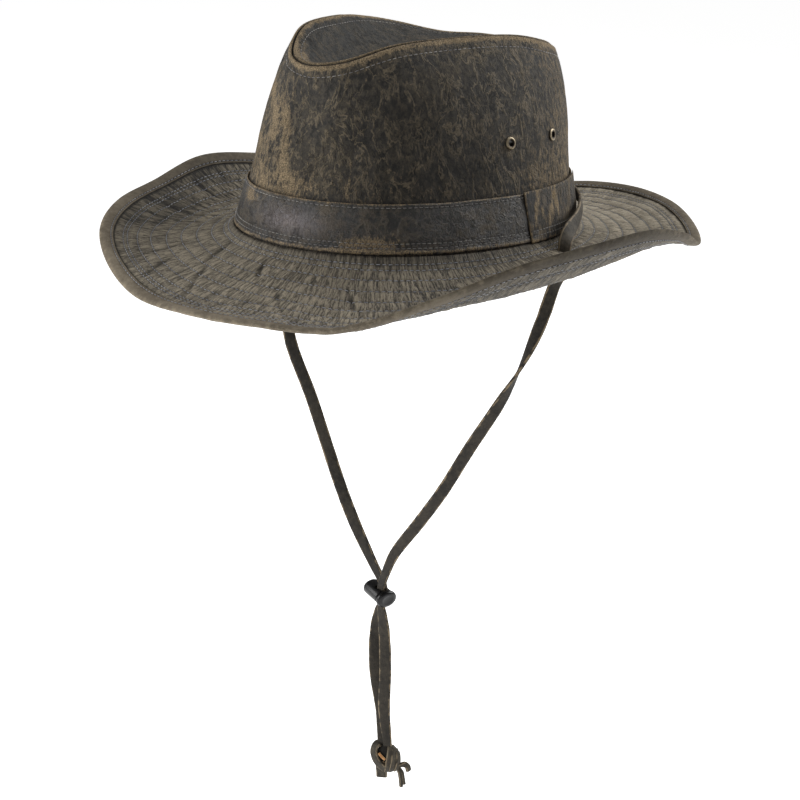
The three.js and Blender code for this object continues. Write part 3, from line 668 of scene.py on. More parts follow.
rightTail = [
    # x, y, z, facing, wide
    [-3.6, 1.6, -12, 104, 0.85], [-6.2, 2.2, -28, 128, 1], [-5.2, 2.2, -50, 122, 1],
    [-0.4, 2.2, -72, 112, 0.9],
]
wrapRows = [
    # after, height, out, turn
    [0, -1.2, 11, 40],
    [1, 2, 11.4, 40],
    [4, 5.2, 11.2, 37],
    [9.5, 8, 9.8, 29],
    [18, 10.6, 7.4, 15],
    [29, 12.2, 5.4, 4],
    [45, 12.6, 4.7, 0],
]
strapLoom = {"step": 1.1, "corners": 20, "fold": 0.22}
seam = hat["seamGap"]


def laceSection():
    a = np.linspace(0, 2 * np.pi, strapLoom["corners"], endpoint=False) + 0.08
    u = np.sign(np.cos(a)) * np.abs(np.cos(a)) ** 0.45 * 0.5
    v = np.sign(np.sin(a)) * np.abs(np.sin(a)) ** 0.6 * 0.5
    crease = 1 - strapLoom["fold"] * hump(u, 0.1)
    return np.stack([u, v * crease], -1)


def laceLoops(path, normals, wide, thickness=None):
    path, normals = np.asarray(path), np.asarray(normals)
    ahead = unit(np.gradient(path, axis=0))
    flat = unit(normals - ahead * np.sum(normals * ahead, -1, keepdims=True))
    across = np.cross(flat, ahead)
    section = laceSection()
    walked = np.concatenate([[0], np.cumsum(np.linalg.norm(np.diff(path, axis=0), axis=1))])
    thick = strap["thickness"] if thickness is None else thickness
    wobble = 1 + 0.05 * bumps(walked / 7, path[:, 0] * 0 + 3, path[:, 0] * 0)
    wide = np.asarray(wide) * wobble
    loops = (path[:, None] + across[:, None] * (section[None, :, 0:1] * strap["width"] * wide[:, None, None])
             + flat[:, None] * (section[None, :, 1:2] * thick))
    lines = np.exp(-(((np.abs(section[:, 0]) - 0.45) / 0.06) ** 2)) * (1.0 + 0.3 * (section[:, 1] > 0))
    grain = bumps(walked[:, None] / 3.0, section[None, :, 0] * 3, section[None, :, 1] * 3)
    wear = np.clip(lines[None, :] * (0.75 + grain), 0, 1)
    shade = 0.35 * hump(section[:, 0], 0.09)[None, :] + 0 * grain
    return loops, wear, shade


def resample(points, normals, wide, step):
    walked = np.concatenate([[0], np.cumsum(np.linalg.norm(np.diff(points, axis=0), axis=1))])
    count = max(8, int(round(walked[-1] / step)))
    at = np.linspace(0, walked[-1], count + 1)
    pick = lambda values: np.stack([np.interp(at, walked, values[:, k]) for k in range(3)], -1)
    return pick(points), unit(pick(normals)), np.interp(at, walked, wide), walked[-1]


def lacePiece(name, points, normals, wide, replaced, finish="lace"):
    path, facing, wides, length = resample(points, normals, wide, strapLoom["step"])
    loops, wear, shade = laceLoops(path, facing, wides)
    notes = {"wear": wear, "shade": shade}
    piece = loopPiece(name, loops, finishes[finish], ring=False, replaced=replaced, notes=notes)
    return piece, path, length


def turnedBy(normals, degrees):
    a = np.radians(degrees)
    x, y = normals[:, 0], normals[:, 1]
    return np.stack([x * np.cos(a) + y * np.sin(a), y * np.cos(a) - x * np.sin(a), normals[:, 2]], -1)


def wrapStations():
    share = np.linspace(0, 1, 60)
    after, height, out, turn = alongRows(wrapRows, share).T
    degrees = strap["holeDegrees"] + after
    points = offWall(degrees, height, out)
    normals = turnedBy(wallNormal(degrees, wallShare(degrees, height)), turn)
    hole = strapHoles[0][0]
    into = np.stack([np.full(60, hole[0]), np.full(60, hole[1]), hole[2] + height], -1)
    near = np.clip(1.5 - share * 6, 0, 1)[:, None]
    points = points * (1 - near) + into * near
    back = np.linspace(strap["holeDegrees"] + wrapRows[-1][0], 180, 40)[1:]
    level = np.full(39, float(wrapRows[-1][1]))
    points = np.vstack([points, offWall(back, level, np.full(39, float(wrapRows[-1][2])))])
    normals = np.vstack([normals, wallNormal(back, wallShare(back, level))])
    mirror = np.array([-1, 1, 1])
    bothPoints = np.vstack([points, (points[:-1] * mirror)[::-1]])
    return bothPoints, np.vstack([normals, (normals[:-1] * mirror)[::-1]])


wrapPoints, wrapNormals = wrapStations()
wrapLeft = np.arange(len(wrapPoints)) / 59
wrapWide = 1 + 0.28 * hump(wrapLeft - 0.34, 0.16) + 0.28 * hump(wrapLeft[::-1] - 0.34, 0.16)
lacePiece("strap_wrap", wrapPoints, wrapNormals, wrapWide, ["strap_round_crown"], "knot")

sliderMiddle = np.array(slider["middle"])
knotMiddle = sliderMiddle + np.array(knot["middle"])


def freeRows(side, route, tail):
    point, out = strapHoles[side]
    away = 1 if side == 0 else -1
    start = [point[0], point[1], point[2] + wrapRows[0][1] - 0.5]
    turn = math.degrees(math.atan2(out[1], out[0]))
    turn = turn + 360 if side == 1 and turn < 0 else turn
    apart = (strap["thickness"] + seam) / 2
    face = -270 if side == 0 else 90
    rows = [[*start, turn, 1], [start[0], start[1] - 1, start[2] - 9, turn - 6 - 2 * away, 1]]
    rows += route
    for end in (slider["radius"], -slider["radius"]):
        rows.append([sliderMiddle[0], sliderMiddle[1] - away * apart, sliderMiddle[2] + end, face, 0.75])
    for x, y, z, facing, wide in tail:
        rows.append([*(sliderMiddle + np.array([x, y, z])), facing, wide])
    top = knotMiddle + np.array([2.4 * away, 0, knot["height"] / 2 + seam])
    rows.append([*top, rows[-1][3], 0.7])
    return rows


strands = []
sides = (("left", leftRoute, leftTail), ("right", rightRoute, rightTail))
for side, (label, route, tail) in enumerate(sides):
    at = alongRows(freeRows(side, route, tail), np.linspace(0, 1, 400))
    face = np.radians(at[:, 3])
    normals = np.stack([np.cos(face), np.sin(face), 0 * face], -1)
    strands.append(lacePiece("strap_strand_" + label, at[:, :3], normals, at[:, 4], ["strap_" + label]))
print("strap made", [round(s[2], 1) for s in strands])

# The slider.

barrel = [
    [0, -9.4], [2.6, -9.4], [3.6, -9.2], [4.3, -8.7], [4.6, -7.9], [4.7, -6.8], [4.7, -1.5], [4.7, 4.2],
    [4.65, 4.9], [4.4, 5.2],
    [3.6, 5.4], [3.5, 5.75], [3.6, 6.1], [4.6, 6.25], [5.1, 6.45], [5.2, 6.9], [5.2, 7.7], [5.05, 8.4],
    [4.5, 9.0], [3.4, 9.4],
    [2.8, 9.4], [2.5, 9.2], [0, 9.1],
]
sliderAxis = unit(np.array(slider["direction"]))
place = basisAlong(sliderAxis, sliderMiddle + sliderAxis * slider["shift"])
points = []
around = 64
for k in range(around):
    a = 2 * math.pi * k / around
    for r, h in barrel[1:-1]:
        points.append(list(place @ Vector((slider["widening"] * r * math.cos(a), r * math.sin(a), h))))
rows = len(barrel) - 2
faces = gridFaces(around, rows, True, False)
points += [list(place @ Vector((0, 0, barrel[0][1]))), list(place @ Vector((0, 0, barrel[-1][1])))]
for k in range(around):
    here, there, ends = k * rows, (k + 1) % around * rows, around * rows
    faces += [[there, here, ends], [here + rows - 1, there + rows - 1, ends + 1]]
sliderPiece = meshPiece(
    "strap_slider_barrel", points, faces, finishes["plastic"], ["strap_slider"])
cutWith(sliderPiece, [block(passageSize, Matrix.Translation(Vector(sliderMiddle * 0.001)))])
print("slider made")

# The knot: both strands turned round themselves once and pulled tight.

sideways = np.array([0.765, 0.644, 0.0])
toward = np.array([0.644, -0.765, 0.0])


def inKnot(rows):
    return knotMiddle + np.array(rows, float) @ np.array([sideways, [0, 0, 1], toward])


def knotLace(rows, wide, step, thickness):
    path = inKnot(alongRows(rows, np.linspace(0, 1, 90)))
    face = unit(path - knotMiddle) * 0.75 + toward * 0.5
    path, face, wides, length = resample(path, face, np.full(90, wide), step)
    return laceLoops(path, face, wides, thickness)


knotPaths = [
    # sideways, up, toward: the lobe at the left, the three turns at the right, the stub, the curl, the tails
    ([[-1.0, 6.5, -2.5], [-4.2, 8.4, -1.6], [-6.2, 5.2, 0.8], [-5.2, 0.6, 2.6],
      [-2.2, -3.4, 3.4], [0.8, -6.2, 2.4], [1.6, -8.0, 0.0]], 0.72),
    ([[1.0, -5.0, -3.2], [2.6, 2.0, -4.0], [3.4, 6.6, -1.8], [3.6, 6.8, 1.2],
      [2.8, 1.5, 3.4], [2.2, -4.0, 3.6], [1.8, -7.6, 1.4]], 0.56),
    ([[3.4, -5.0, -3.4], [4.6, 1.0, -4.0], [5.2, 5.6, -1.8], [5.6, 5.4, 1.2],
      [5.2, 0.0, 3.0], [4.6, -5.0, 2.8], [4.4, -7.6, 0.6]], 0.56),
    ([[5.4, -5.2, -2.8], [6.6, 0.0, -3.0], [7.0, 4.0, -1.2], [7.6, 3.2, 1.0],
      [8.0, -1.2, 1.8], [7.2, -5.6, 1.8], [6.8, -7.2, 0.0]], 0.5),
    ([[-2.2, -1.5, 0.4], [-2.0, -5.0, 1.2], [-1.4, -8.6, 0.8], [-1.2, -12.0, 0.4]], 0.95),
    ([[7.0, -4.8, 0.6], [9.6, -4.0, 1.0], [12.0, -3.6, 0.8], [13.8, -5.2, 0.4], [14.4, -7.8, 0.2]], 0.5),
    ([[7.2, -5.6, 0.8], [8.8, -8.0, 1.0], [9.8, -12.0, 0.8], [10.4, -18.0, 0.4]], 0.3),
    ([[8.0, -5.2, 0.2], [10.4, -8.4, 0.4], [11.2, -12.0, 0.2], [12.0, -16.6, 0.0]], 0.26),
]
loopsAll, wearAll, shadeAll, faces, start = [], [], [], [], 0
core = []
for a in np.radians(np.arange(0, 360, 15)):
    for b in np.radians(np.arange(-80, 81, 20)):
        level = math.cos(b)
        core.append([0.4 + 6.0 * level * math.cos(a), 0.6 + 7.4 * math.sin(b), 3.0 * level * math.sin(a)])
loopsAll.append(inKnot(core))
wearAll.append(np.zeros(len(core)))
shadeAll.append(np.full(len(core), 0.92))
faces += gridFaces(24, 9, True, False, 0)
faces += [[9 * k for k in range(24)], [9 * k + 8 for k in reversed(range(24))]]
start = len(core)
for rows, wide in knotPaths:
    loops, wear, shade = knotLace(rows, wide, 0.8, 2.2)
    count, columns = loops.shape[:2]
    loopsAll.append(loops.reshape(-1, 3))
    wearAll.append(wear.ravel())
    shadeAll.append(shade.ravel())
    faces += gridFaces(count, columns, False, True, start)
    last = start + (count - 1) * columns
    faces += [list(range(start, start + columns)), [last + k for k in reversed(range(columns))]]
    start += count * columns
knotNotes = {"wear": np.concatenate(wearAll), "shade": np.concatenate(shadeAll)}
knotPiece = meshPiece(
    "strap_end_knot", np.vstack(loopsAll), faces, finishes["knot"], ["strap_knot"], knotNotes)
loops, wear, shade = knotLace([[-3.4, 4.2, 3.0], [-1.6, 2.4, 3.9], [0.4, 0.6, 4.2]], 0.22, 0.5, 1.2)
rawPiece = loopPiece(
    "strap_raw_end", loops, finishes["raw"], ring=False, notes=wornNotes(wear, 0 * shade))
print("knot made")

onLeft = [sliderPiece, knotPiece, rawPiece]
for (piece, path, length), withPieces in zip(strands, (onLeft, [])):
    tuple(path[0] * 0.001)
    length * 0.001
    (path[::4] * 0.001).tolist()

# The crown wall.

crownLoom = {
    "round": 640, "rows": 100, "lip": 1.0, "lipDown": 0.4, "crinkle": 0.34, "swell": 0.6, "stitchDown": 6.3,
}


def crinkles(degrees, height):
    t = np.radians(degrees)
    wide = bumps(np.cos(t) * 2.6, np.sin(t) * 2.6, height / 42)
    folds = np.abs(bumps(np.cos(t) * 9, np.sin(t) * 9, height / 26 + 7))
    small = np.abs(bumps(np.cos(t) * 24, np.sin(t) * 24, height / 9 + 3))
    return crownLoom["swell"] * wide + crownLoom["crinkle"] * (1.6 * folds - 0.35) + 0.3 * (small - 0.2)


def wallSkin(degrees, down):
    length = np.linalg.norm(topEdge(degrees) - ovalPoint(degrees), axis=-1)
    share = 1 - down / length
    height = share * topHeight(degrees)
    calm = np.clip(down / 6, 0, 1) * np.clip((height - hat["bandLift"] - hat["bandHeight"]) / 8 + 1, 0, 1)
    normal = wallNormal(degrees, share)
    rowDip = 0.32 * hump(down - crownLoom["stitchDown"], 0.8)
    out = crinkles(degrees, height) * calm * 0.8 - rowDip
    return wallPoint(degrees, share) + normal * out[..., None], normal, height, out


# Rubbed streaks that run up the front of the crown, placed across the three-quarter view. Those by the
# crown's left edge are partly real rubbing and partly a painted highlight.
frontStreaks = [
    # middle and half width across, lowest and highest, share
    [-68, 13.0, 22, 96, 0.4], [-72, 2.2, 52, 88, 0.5], [-65, 2.8, 34, 80, 0.5], [-78, 5.0, 22, 60, 0.35],
    [-58, 7.0, 24, 44, 0.3], [-50, 3.0, 28, 62, 0.24], [-31, 1.6, 26, 58, 0.4], [-26, 1.2, 30, 52, 0.32],
    [-13, 1.4, 40, 96, 0.16], [8, 1.5, 44, 88, 0.16],
]


tipLoom = {"round": 520, "seam": 1.5, "bead": 2.6, "stitchIn": 6.0, "crinkle": 0.45}
dentMiddle = np.array([0, dent["along"] * halfLength, dent["height"] * hat["crownHeight"]])


def tipSkin(degrees, inset):
    ahead = topEdge(degrees + 0.5) - topEdge(degrees - 0.5)
    normal = unit(stack(ahead[..., 1], -ahead[..., 0], 0 * ahead[..., 0]))
    edge = topEdge(degrees)
    near = edge - normal * np.minimum(inset, 12)[..., None]
    reach = np.linalg.norm((edge - dentMiddle)[..., :2], axis=-1)
    share = np.clip(1 - inset / reach, 0, 1)
    far = dentMiddle + (edge - dentMiddle) * share[..., None]
    blend = np.clip((inset - 1) / 11, 0, 1) ** 1.5
    point = near * (1 - blend)[..., None] + far * blend[..., None]
    weight = share ** crownValue(5, degrees)
    sink = crownValue(6, degrees) * np.sin(np.pi * share) ** 2
    point[..., 2] = (edge[..., 2] + hat["tipRise"]) * weight + dentMiddle[2] * (1 - weight) - sink
    calm = np.clip((inset - 5) / 14, 0, 1)
    x, y = point[..., 0] / 10, point[..., 1] / 10
    folds = np.abs(bumps(x * 0.55 + 4, y * 0.28, 2.0))
    small = np.abs(bumps(x * 2.1, y * 1.6, 5.0))
    lift = (tipLoom["crinkle"] * (2.2 * folds - 0.5) + 0.35 * (small - 0.2)) * calm
    lift = lift - 1.7 * hump(inset - tipLoom["seam"], 0.5)
    lift = lift + 0.7 * hump(inset - tipLoom["bead"], 0.75)
    lift = lift - 0.3 * hump(inset - tipLoom["stitchIn"], 0.8)
    point[..., 2] += lift
    return point, lift


def buildWall():
    degrees = (np.arange(crownLoom["round"]) * 360 / crownLoom["round"])[:, None]
    lip = crownLoom["lip"]
    length = np.linalg.norm(topEdge(degrees) - ovalPoint(degrees), axis=-1)
    bottom = length * (1 - wallShare(degrees, hat["seamGap"]))
    lean = np.linspace(0, 1, crownLoom["rows"])[None, :]
    down = bottom + (lip + crownLoom["lipDown"] - bottom) * (1 - (1 - lean) ** 1.15)
    skin, normal, height, out = wallSkin(degrees, down)
    rolled = []
    for a in np.radians(np.linspace(10, 90, 9)):
        share = 1 - (crownLoom["lipDown"] + lip - lip * math.sin(a)) / length
        rolled.append(wallPoint(degrees, share) - wallNormal(degrees, share) * (lip - lip * math.cos(a)))
    top = wallPoint(degrees, np.ones_like(degrees))
    topNormal = wallNormal(degrees, np.ones_like(degrees))
    upward = unit(wallPoint(degrees, 1.0) - wallPoint(degrees, 0.98))
    rolled.append(top - topNormal * (lip + 0.25) - upward * 1.1)
    # The seam's allowance turns in under the tip's edge.
    for inset, sunk in ((-0.3, 0.6), (-0.3, 2.9), (1.1, 2.9)):
        rolled.append(tipSkin(degrees, tipLoom["seam"] + inset + 0 * degrees)[0] - [0, 0, sunk])
    inner = []
    for share in np.linspace(0.94, 0.01, 16):
        inner.append(wallPoint(degrees, share) - wallNormal(degrees, share) * hat["cloth"])
    foot = wallPoint(degrees, wallShare(degrees, hat["seamGap"])) - outward(degrees) * hat["cloth"]
    loops = np.concatenate([skin] + rolled + inner + [foot], 1)
    wear = np.zeros(loops.shape[:2])
    shade = np.zeros(loops.shape[:2])
    rows = crownLoom["rows"]
    beside = skin @ sideways
    turned = (degrees + 180) % 360 - 180
    ahead = np.clip((turned + 54) / 8, 0, 1) * (turned < 60)
    worn = 0.8 * hump(down - 1.6, 1.5) + np.clip(out - 0.1, 0, 1) * 0.6
    crest = 0.3 * hump(down, 9) * (0.6 + 0.5 * np.sin(np.radians(degrees * 2.2)))
    for middle, width, low, high, share in frontStreaks:
        wave = middle + 1.2 * np.sin(height / 6 + middle)
        reach = np.clip((height - low) / 6, 0, 1) * np.clip((high - height) / 8, 0, 1)
        worn = worn + share * hump(beside - wave, width) * reach * ahead
    # Lighter low down along the crown's left edge: partly real wear and partly a painted highlight.
    worn = worn + 0.3 * hump(turned + 52, 16) * np.clip((84 - height) / 20, 0, 1)
    worn = worn + 0.24 * hump(turned + 96 + height * 0.1, 9)
    rear = 0.46 * hump(degrees - 114, 26) + 0.2 * hump(degrees - 250, 40)
    dusty = 0.22 * hump(height - 30, 14)
    wear[:, :rows] = worn + crest + rear + dusty
    band = hat["bandLift"] + hat["bandHeight"]
    shade[:, :rows] = np.clip(-out * 0.8, 0, 0.6) + 0.6 * hump(height - band, 1.6)
    shade[:, :rows] += 0.26 * hump(degrees - 50, 20) * hump(height - 66, 34)
    wear[:, rows:rows + 9] = 0.85
    shade[:, rows + 9:rows + 13] = 0.95
    notes = wornNotes(wear, shade)
    return loopPiece(
        "crown_wall_cloth", loops, finishes["crown"], replaced=["crown_wall"], notes=notes)


wall = buildWall()

# Holes for the eyelets, cut right through both faces of the cloth.
eyeletPlaces = []
for side in (1, -1):
    for index, (degrees, share) in enumerate(eyeletRows):
        at = wallPoint(np.array(side * degrees), np.array(share))
        facing = wallNormal(np.array(side * degrees), np.array(share))
        label = ("left" if side > 0 else "right") + ("_front" if index == 0 else "_back")
        eyeletPlaces.append((label, at, facing))


cutWith(wall, [rod(0.0024, 0.012, basisAlong(facing, at * 0.001)) for label, at, facing in eyeletPlaces])
print("crown wall made")

# The crown tip.

def buildTip():
    degrees = (np.arange(tipLoom["round"]) * 360 / tipLoom["round"])[:, None]
    seam = tipLoom["seam"]
    close = [0, 0.15, 0.3, 0.5, 0.75, 1.1, 1.6, 2.2, 2.9, 3.4, 3.8, 4.2, 4.7, 5.5, 6.6, 8]
    close = seam + np.array(close)[None, :]
    reach = np.linalg.norm((topEdge(degrees) - dentMiddle)[..., :2], axis=-1)
    steps = np.linspace(0, 1, 34)[None, 1:-1]
    inset = np.concatenate([close + 0 * degrees, (seam + 8) + (reach - seam - 8) * steps], 1)
    top, lift = tipSkin(degrees, inset)
    rings = inset.shape[1]
    middle = dentMiddle + np.array([0, 0, top[:, -1, 2].mean() - dentMiddle[2]])
    under = top[:, [0, 4, 10, 15, 20, 26, 32, rings - 1]].copy()
    under[..., 2] -= hat["cloth"]
    under[:, 0, 2] -= 0.6
    layers = np.concatenate([top, under[:, ::-1]], 1)
    count, columns = layers.shape[:2]
    points = np.vstack([layers.reshape(-1, 3), middle, middle - [0, 0, hat["cloth"]]])
    faces = []
    base = count * columns
    for k in range(count):
        here, there = k * columns, (k + 1) % count * columns
        for j in [*range(rings - 1), *range(rings, columns - 1)]:
            faces.append([here + j, there + j, there + j + 1, here + j + 1])
        faces.append([here + columns - 1, there + columns - 1, there, here])
        faces.append([here + rings - 1, there + rings - 1, base])
        faces.append([there + rings, here + rings, base + 1])
    wear = np.zeros(layers.shape[:2])
    shade = np.zeros(layers.shape[:2])
    front = hump(turnFrom(degrees, -8), 26)
    wear[:, :rings] = 0.95 * hump(inset - tipLoom["bead"], 1.3) + 0.95 * hump(inset - 5, 9) * front
    wear[:, :rings] += np.clip(lift * 0.4, 0, 0.3)
    shade[:, :rings] = hump(inset - seam, 0.5) + np.clip(-lift * 0.3, 0, 0.3)
    valley = hump(top[..., 0] - 4, 10) * hump(top[..., 1] + 46, 22)
    shade[:, :rings] += 0.4 * valley
    notes = wornNotes(np.append(wear.ravel(), [0, 0]), np.append(shade.ravel(), [0, 0]))
    return meshPiece("crown_tip_cloth", points, faces, finishes["tip"], ["crown_tip"], notes)


buildTip()
print("crown tip made")

# The brim.

brimLoom = {
    "round": 1000, "topRows": 36, "underRows": 22, "pucker": 0.55, "fold": 1.0, "rise": 3.2, "around": 130,
    "rows": [0.045, 0.08, 0.17, 0.28, 0.395, 0.505, 0.62, 0.72, 0.795, 0.825],
}


def nearestRow(share):
    return np.min(np.abs(share[..., None] - np.array(brimLoom["rows"])), -1) * hat["brimWidth"]


# The deeper creases on top.
brimCreases = [
    # degrees, middle and half length outwards in mm, half width and slant in degrees, depth in mm
    [340, 17, 11, 1.0, 0.30, 1.3], [2, 18, 10, 0.9, 0.30, 1.2], [350, 42, 16, 0.8, 0.32, 0.9],
    [14, 38, 14, 0.7, 0.28, 0.8],
    [326, 36, 18, 0.8, 0.20, 0.8], [336, 46, 14, 0.7, 0.28, 0.7], [300, 36, 18, 0.6, -0.05, 0.8],
    [292, 40, 20, 0.7, -0.06, 0.9],
    [285, 44, 16, 0.6, -0.05, 0.8], [277, 52, 12, 0.6, -0.03, 0.8], [269, 58, 9, 0.6, 0.0, 0.8],
    [30, 26, 12, 0.7, 0.20, 0.7],
    [48, 22, 10, 0.6, 0.10, 0.6], [75, 34, 16, 0.7, 0.05, 0.6], [158, 34, 16, 0.8, 0.0, 0.7],
    [205, 36, 18, 0.8, 0.05, 0.8],
    [238, 40, 16, 0.8, -0.05, 0.8],
]


# Ridges that run outwards, a few long creases across them, and a groove along each row of stitches.
def puckering(degrees, share, side):
    t = np.radians(degrees)
    seed = 0.0 if side > 0 else 31.0
    out = share * hat["brimWidth"]
    ridges = np.abs(bumps(np.cos(t) * 38 + seed, np.sin(t) * 38, out / 9))
    wide = np.abs(bumps(np.cos(t) * 15 + seed, np.sin(t) * 15, out / 17))
    folds = bumps(np.cos(t) * 5 + seed, np.sin(t) * 5, out / 60)
    away = nearestRow(share)
    held = np.clip(away / 2.6, 0, 1)
    groove = 0.4 * hump(away, 0.8)
    ease = np.clip((1 - share) * hat["brimWidth"] - hat["bindingWidth"] + 1.2, 0, 2) / 2
    start = np.clip(out / 4 - 0.3, 0, 1)
    raised = 1.9 * ridges - 0.42
    lift = brimLoom["pucker"] * raised * (0.4 + 0.6 * held) + 0.6 * (wide - 0.24)
    lift = lift + brimLoom["fold"] * (np.abs(folds) - 0.25) * np.clip(share * 1.6, 0, 1)
    if side > 0:
        for at, middle, span, width, slant, depth in brimCreases:
            line = (degrees - at - slant * (out - middle) + 180) % 360 - 180
            lift = lift - depth * hump(line, width) * hump(out - middle, span)
    else:
        lift = np.minimum(0.55 * lift, 0.4)
    return (lift - groove) * ease * start, lift


def brimSkin(degrees, share, side):
    normal = brimNormal(degrees, share)
    lift, raw = puckering(degrees, share, side)
    if side > 0:
        point = brimPoint(degrees, share) + normal * lift[..., None]
        out = np.maximum(share * hat["brimWidth"], 0)
        point[..., 2] += brimLoom["rise"] * np.exp(-((out / 3.4) ** 1.6))
        return point, normal, raw
    return brimPoint(degrees, share) - normal * (hat["brimThickness"] + lift)[..., None], -normal, raw


def buildBrim():
    degrees = (np.arange(brimLoom["round"]) * 360 / brimLoom["round"])[:, None]
    last = 1 - (hat["brimThickness"] / 2 + 0.9) / brimReach(degrees)
    start = 0.3 / brimReach(degrees)
    even = start + (last - start) * np.linspace(0, 1, brimLoom["topRows"])[None, :] ** 1.12
    besideRows = np.array(brimLoom["rows"])[:, None] + np.array([-0.7, 0, 0.7]) / hat["brimWidth"]
    besideRows = besideRows.ravel()[None, :] + 0 * degrees
    byTape = 1 - (hat["tapeSeen"] + np.array([1.6, 0.9, 0.4, 0.0, -0.4])) / brimReach(degrees)
    topShare = np.sort(np.concatenate([even, besideRows, byTape], 1), 1)
    underShare = last * np.linspace(1, 0.01, brimLoom["underRows"])[None, :]
    top, normal, topRaw = brimSkin(degrees, topShare, 1)
    under, normal, underRaw = brimSkin(degrees, underShare, -1)
    inner = ovalPoint(degrees) - outward(degrees) * hat["cloth"]
    corner = ovalPoint(degrees) + outward(degrees) * 0.2
    innerUnder = inner - np.array([0, 0, hat["brimThickness"]])
    loops = np.concatenate([inner, corner, top, under, innerUnder], 1)
    ends = 0 * degrees
    raw = np.concatenate([ends, ends, topRaw, underRaw, ends], 1)
    share = np.concatenate([ends, ends, topShare, underShare, ends], 1)
    out = share * hat["brimWidth"]
    t = np.radians(degrees)
    cloud = bumps(np.cos(t) * 3, np.sin(t) * 3, share * 2)
    wear = np.clip(raw * 1.3 + 0.45, 0, 1) + 0.1 * np.clip(cloud * 2, -1, 1)
    # Painted shade along the grooves of the stitch rows.
    row = hump(nearestRow(share), 0.55)
    shade = np.clip(-raw * 0.9 - 0.12, 0, 0.7)
    shade = shade + 0.5 * hump(out - 1.0, 1.2)
    far = hump(turnFrom(degrees, 285), 30) * np.clip(share * 1.9 - 0.6, 0, 1)
    near = hump(turnFrom(degrees, 62), 24)
    shade = shade + 0.62 * far + 0.2 * near
    shade[:, 2 + topShare.shape[1]:] += 0.34
    # Painted light on the brim's back and, more weakly, on its front.
    bleach = 0.95 * hump(turnFrom(degrees, 158), 36)
    bleach = bleach + 0.36 * hump(turnFrom(degrees, -8), 34) + 0 * share
    edge = (1 - share) * brimReach(degrees) - hat["tapeSeen"]
    shade = shade + 0.95 * hump(edge - 0.1, 0.75)
    around = brimLoom["around"]
    loom = stack(around * np.cos(t), around * np.sin(t), out)
    notes = wornNotes(wear, shade, row=row, loom=loom, bleach=bleach)
    return loopPiece("brim_cloth", loops, finishes["brim"], replaced=["brim"], notes=notes)


brim = buildBrim()
cutWith(brim, [brimSlot(at, out) for at, out in strapHoles])
print("brim made")

# The binding.

bindingLoom = {
    "round": 900, "stitchIn": 6.1,
    "profile": [
        [7.5, 0.13], [7.55, 0.36], [7.3, 0.62], [6.8, 0.74], [6.4, 0.64], [6.1, 0.52], [5.8, 0.64],
        [5.2, 0.8], [4.4, 0.87],
        [3.2, 0.86], [2.2, 0.74], [1.2, 0.42], [0.45, -0.1], [0.08, -0.52], [0.0, -0.8], [0.08, -1.08],
        [0.45, -1.5],
        [1.2, -2.02], [2.2, -2.34], [3.2, -2.46], [4.4, -2.47], [5.2, -2.4], [5.8, -2.24], [6.1, -2.12],
        [6.4, -2.24],
        [6.8, -2.34], [7.3, -2.22], [7.55, -1.96], [7.5, -1.73], [5.2, -1.83], [3.0, -1.82], [1.2, -0.8],
        [3.0, 0.2], [5.2, 0.22],
    ],
}


def bindingSkin(degrees, fromEdge, distance):
    share = 1 - fromEdge / brimReach(degrees)
    t = np.radians(degrees)
    ripple = bumps(np.cos(t) * 20, np.sin(t) * 20, fromEdge / 9 + distance * 0.1)
    small = bumps(np.cos(t) * 60, np.sin(t) * 60, fromEdge / 5 + distance * 0.2)
    away = np.sign(distance + hat["brimThickness"] / 2)
    held = np.clip(fromEdge / 9, 0, 1)
    swell = away * (0.3 * ripple * (1 - 0.4 * held) + 0.18 * small * held)
    swell = np.where(np.abs(distance + hat["brimThickness"] / 2) < 1.1, 0, swell)
    normal = brimNormal(degrees, share)
    return brimPoint(degrees, share) + normal * (distance + swell)[..., None], normal, swell * away


def buildBinding():
    degrees = (np.arange(bindingLoom["round"]) * 360 / bindingLoom["round"])[:, None]
    profile = np.array(bindingLoom["profile"])
    fromEdge = profile[:, 0][None, :] + 0 * degrees
    distance = profile[:, 1][None, :] + 0 * degrees
    loops, normal, swell = bindingSkin(degrees, fromEdge, distance)
    wear = 0.5 * hump(fromEdge, 1.6) + np.clip(swell * 1.2, 0, 0.35)
    shade = 0.5 * hump(fromEdge - bindingLoom["stitchIn"], 0.4) + 0.7 * (fromEdge > hat["tapeSeen"] - 0.05)
    shade = shade + 0.62 * hump(turnFrom(degrees, 274), 26)
    shade = shade + 0.3 * hump(turnFrom(degrees, 175), 30)
    shade = shade + 0.8 * hump(turnFrom(degrees, 78), 40)
    notes = wornNotes(wear, shade)
    return loopPiece(
        "brim_binding_tape", loops, finishes["tape"], replaced=["brim_binding"], notes=notes)


buildBinding()
print("binding made")

# The band and its keeper.

bandLoom = {
    "round": 760, "stitches": [3.1, 5.4, 23.3],
    "profile": [
        [0.3, 0.40], [0.0, 0.79], [0.15, 1.22], [0.7, 1.54], [1.4, 1.62], [2.1, 1.54], [2.7, 1.34],
        [3.1, 1.22], [3.5, 1.31],
        [4.2, 1.44], [4.9, 1.35], [5.4, 1.23], [5.9, 1.34], [7.0, 1.48], [9.0, 1.54], [11.5, 1.58],
        [12.7, 1.60], [15.7, 1.58],
        [18.7, 1.54], [21.2, 1.48], [22.6, 1.36], [23.3, 1.22], [23.9, 1.31], [24.6, 1.35], [25.1, 1.18],
        [25.25, 0.86],
        [25.0, 0.50], [18.7, 0.36], [13.0, 0.36], [6.0, 0.36],
    ],
}


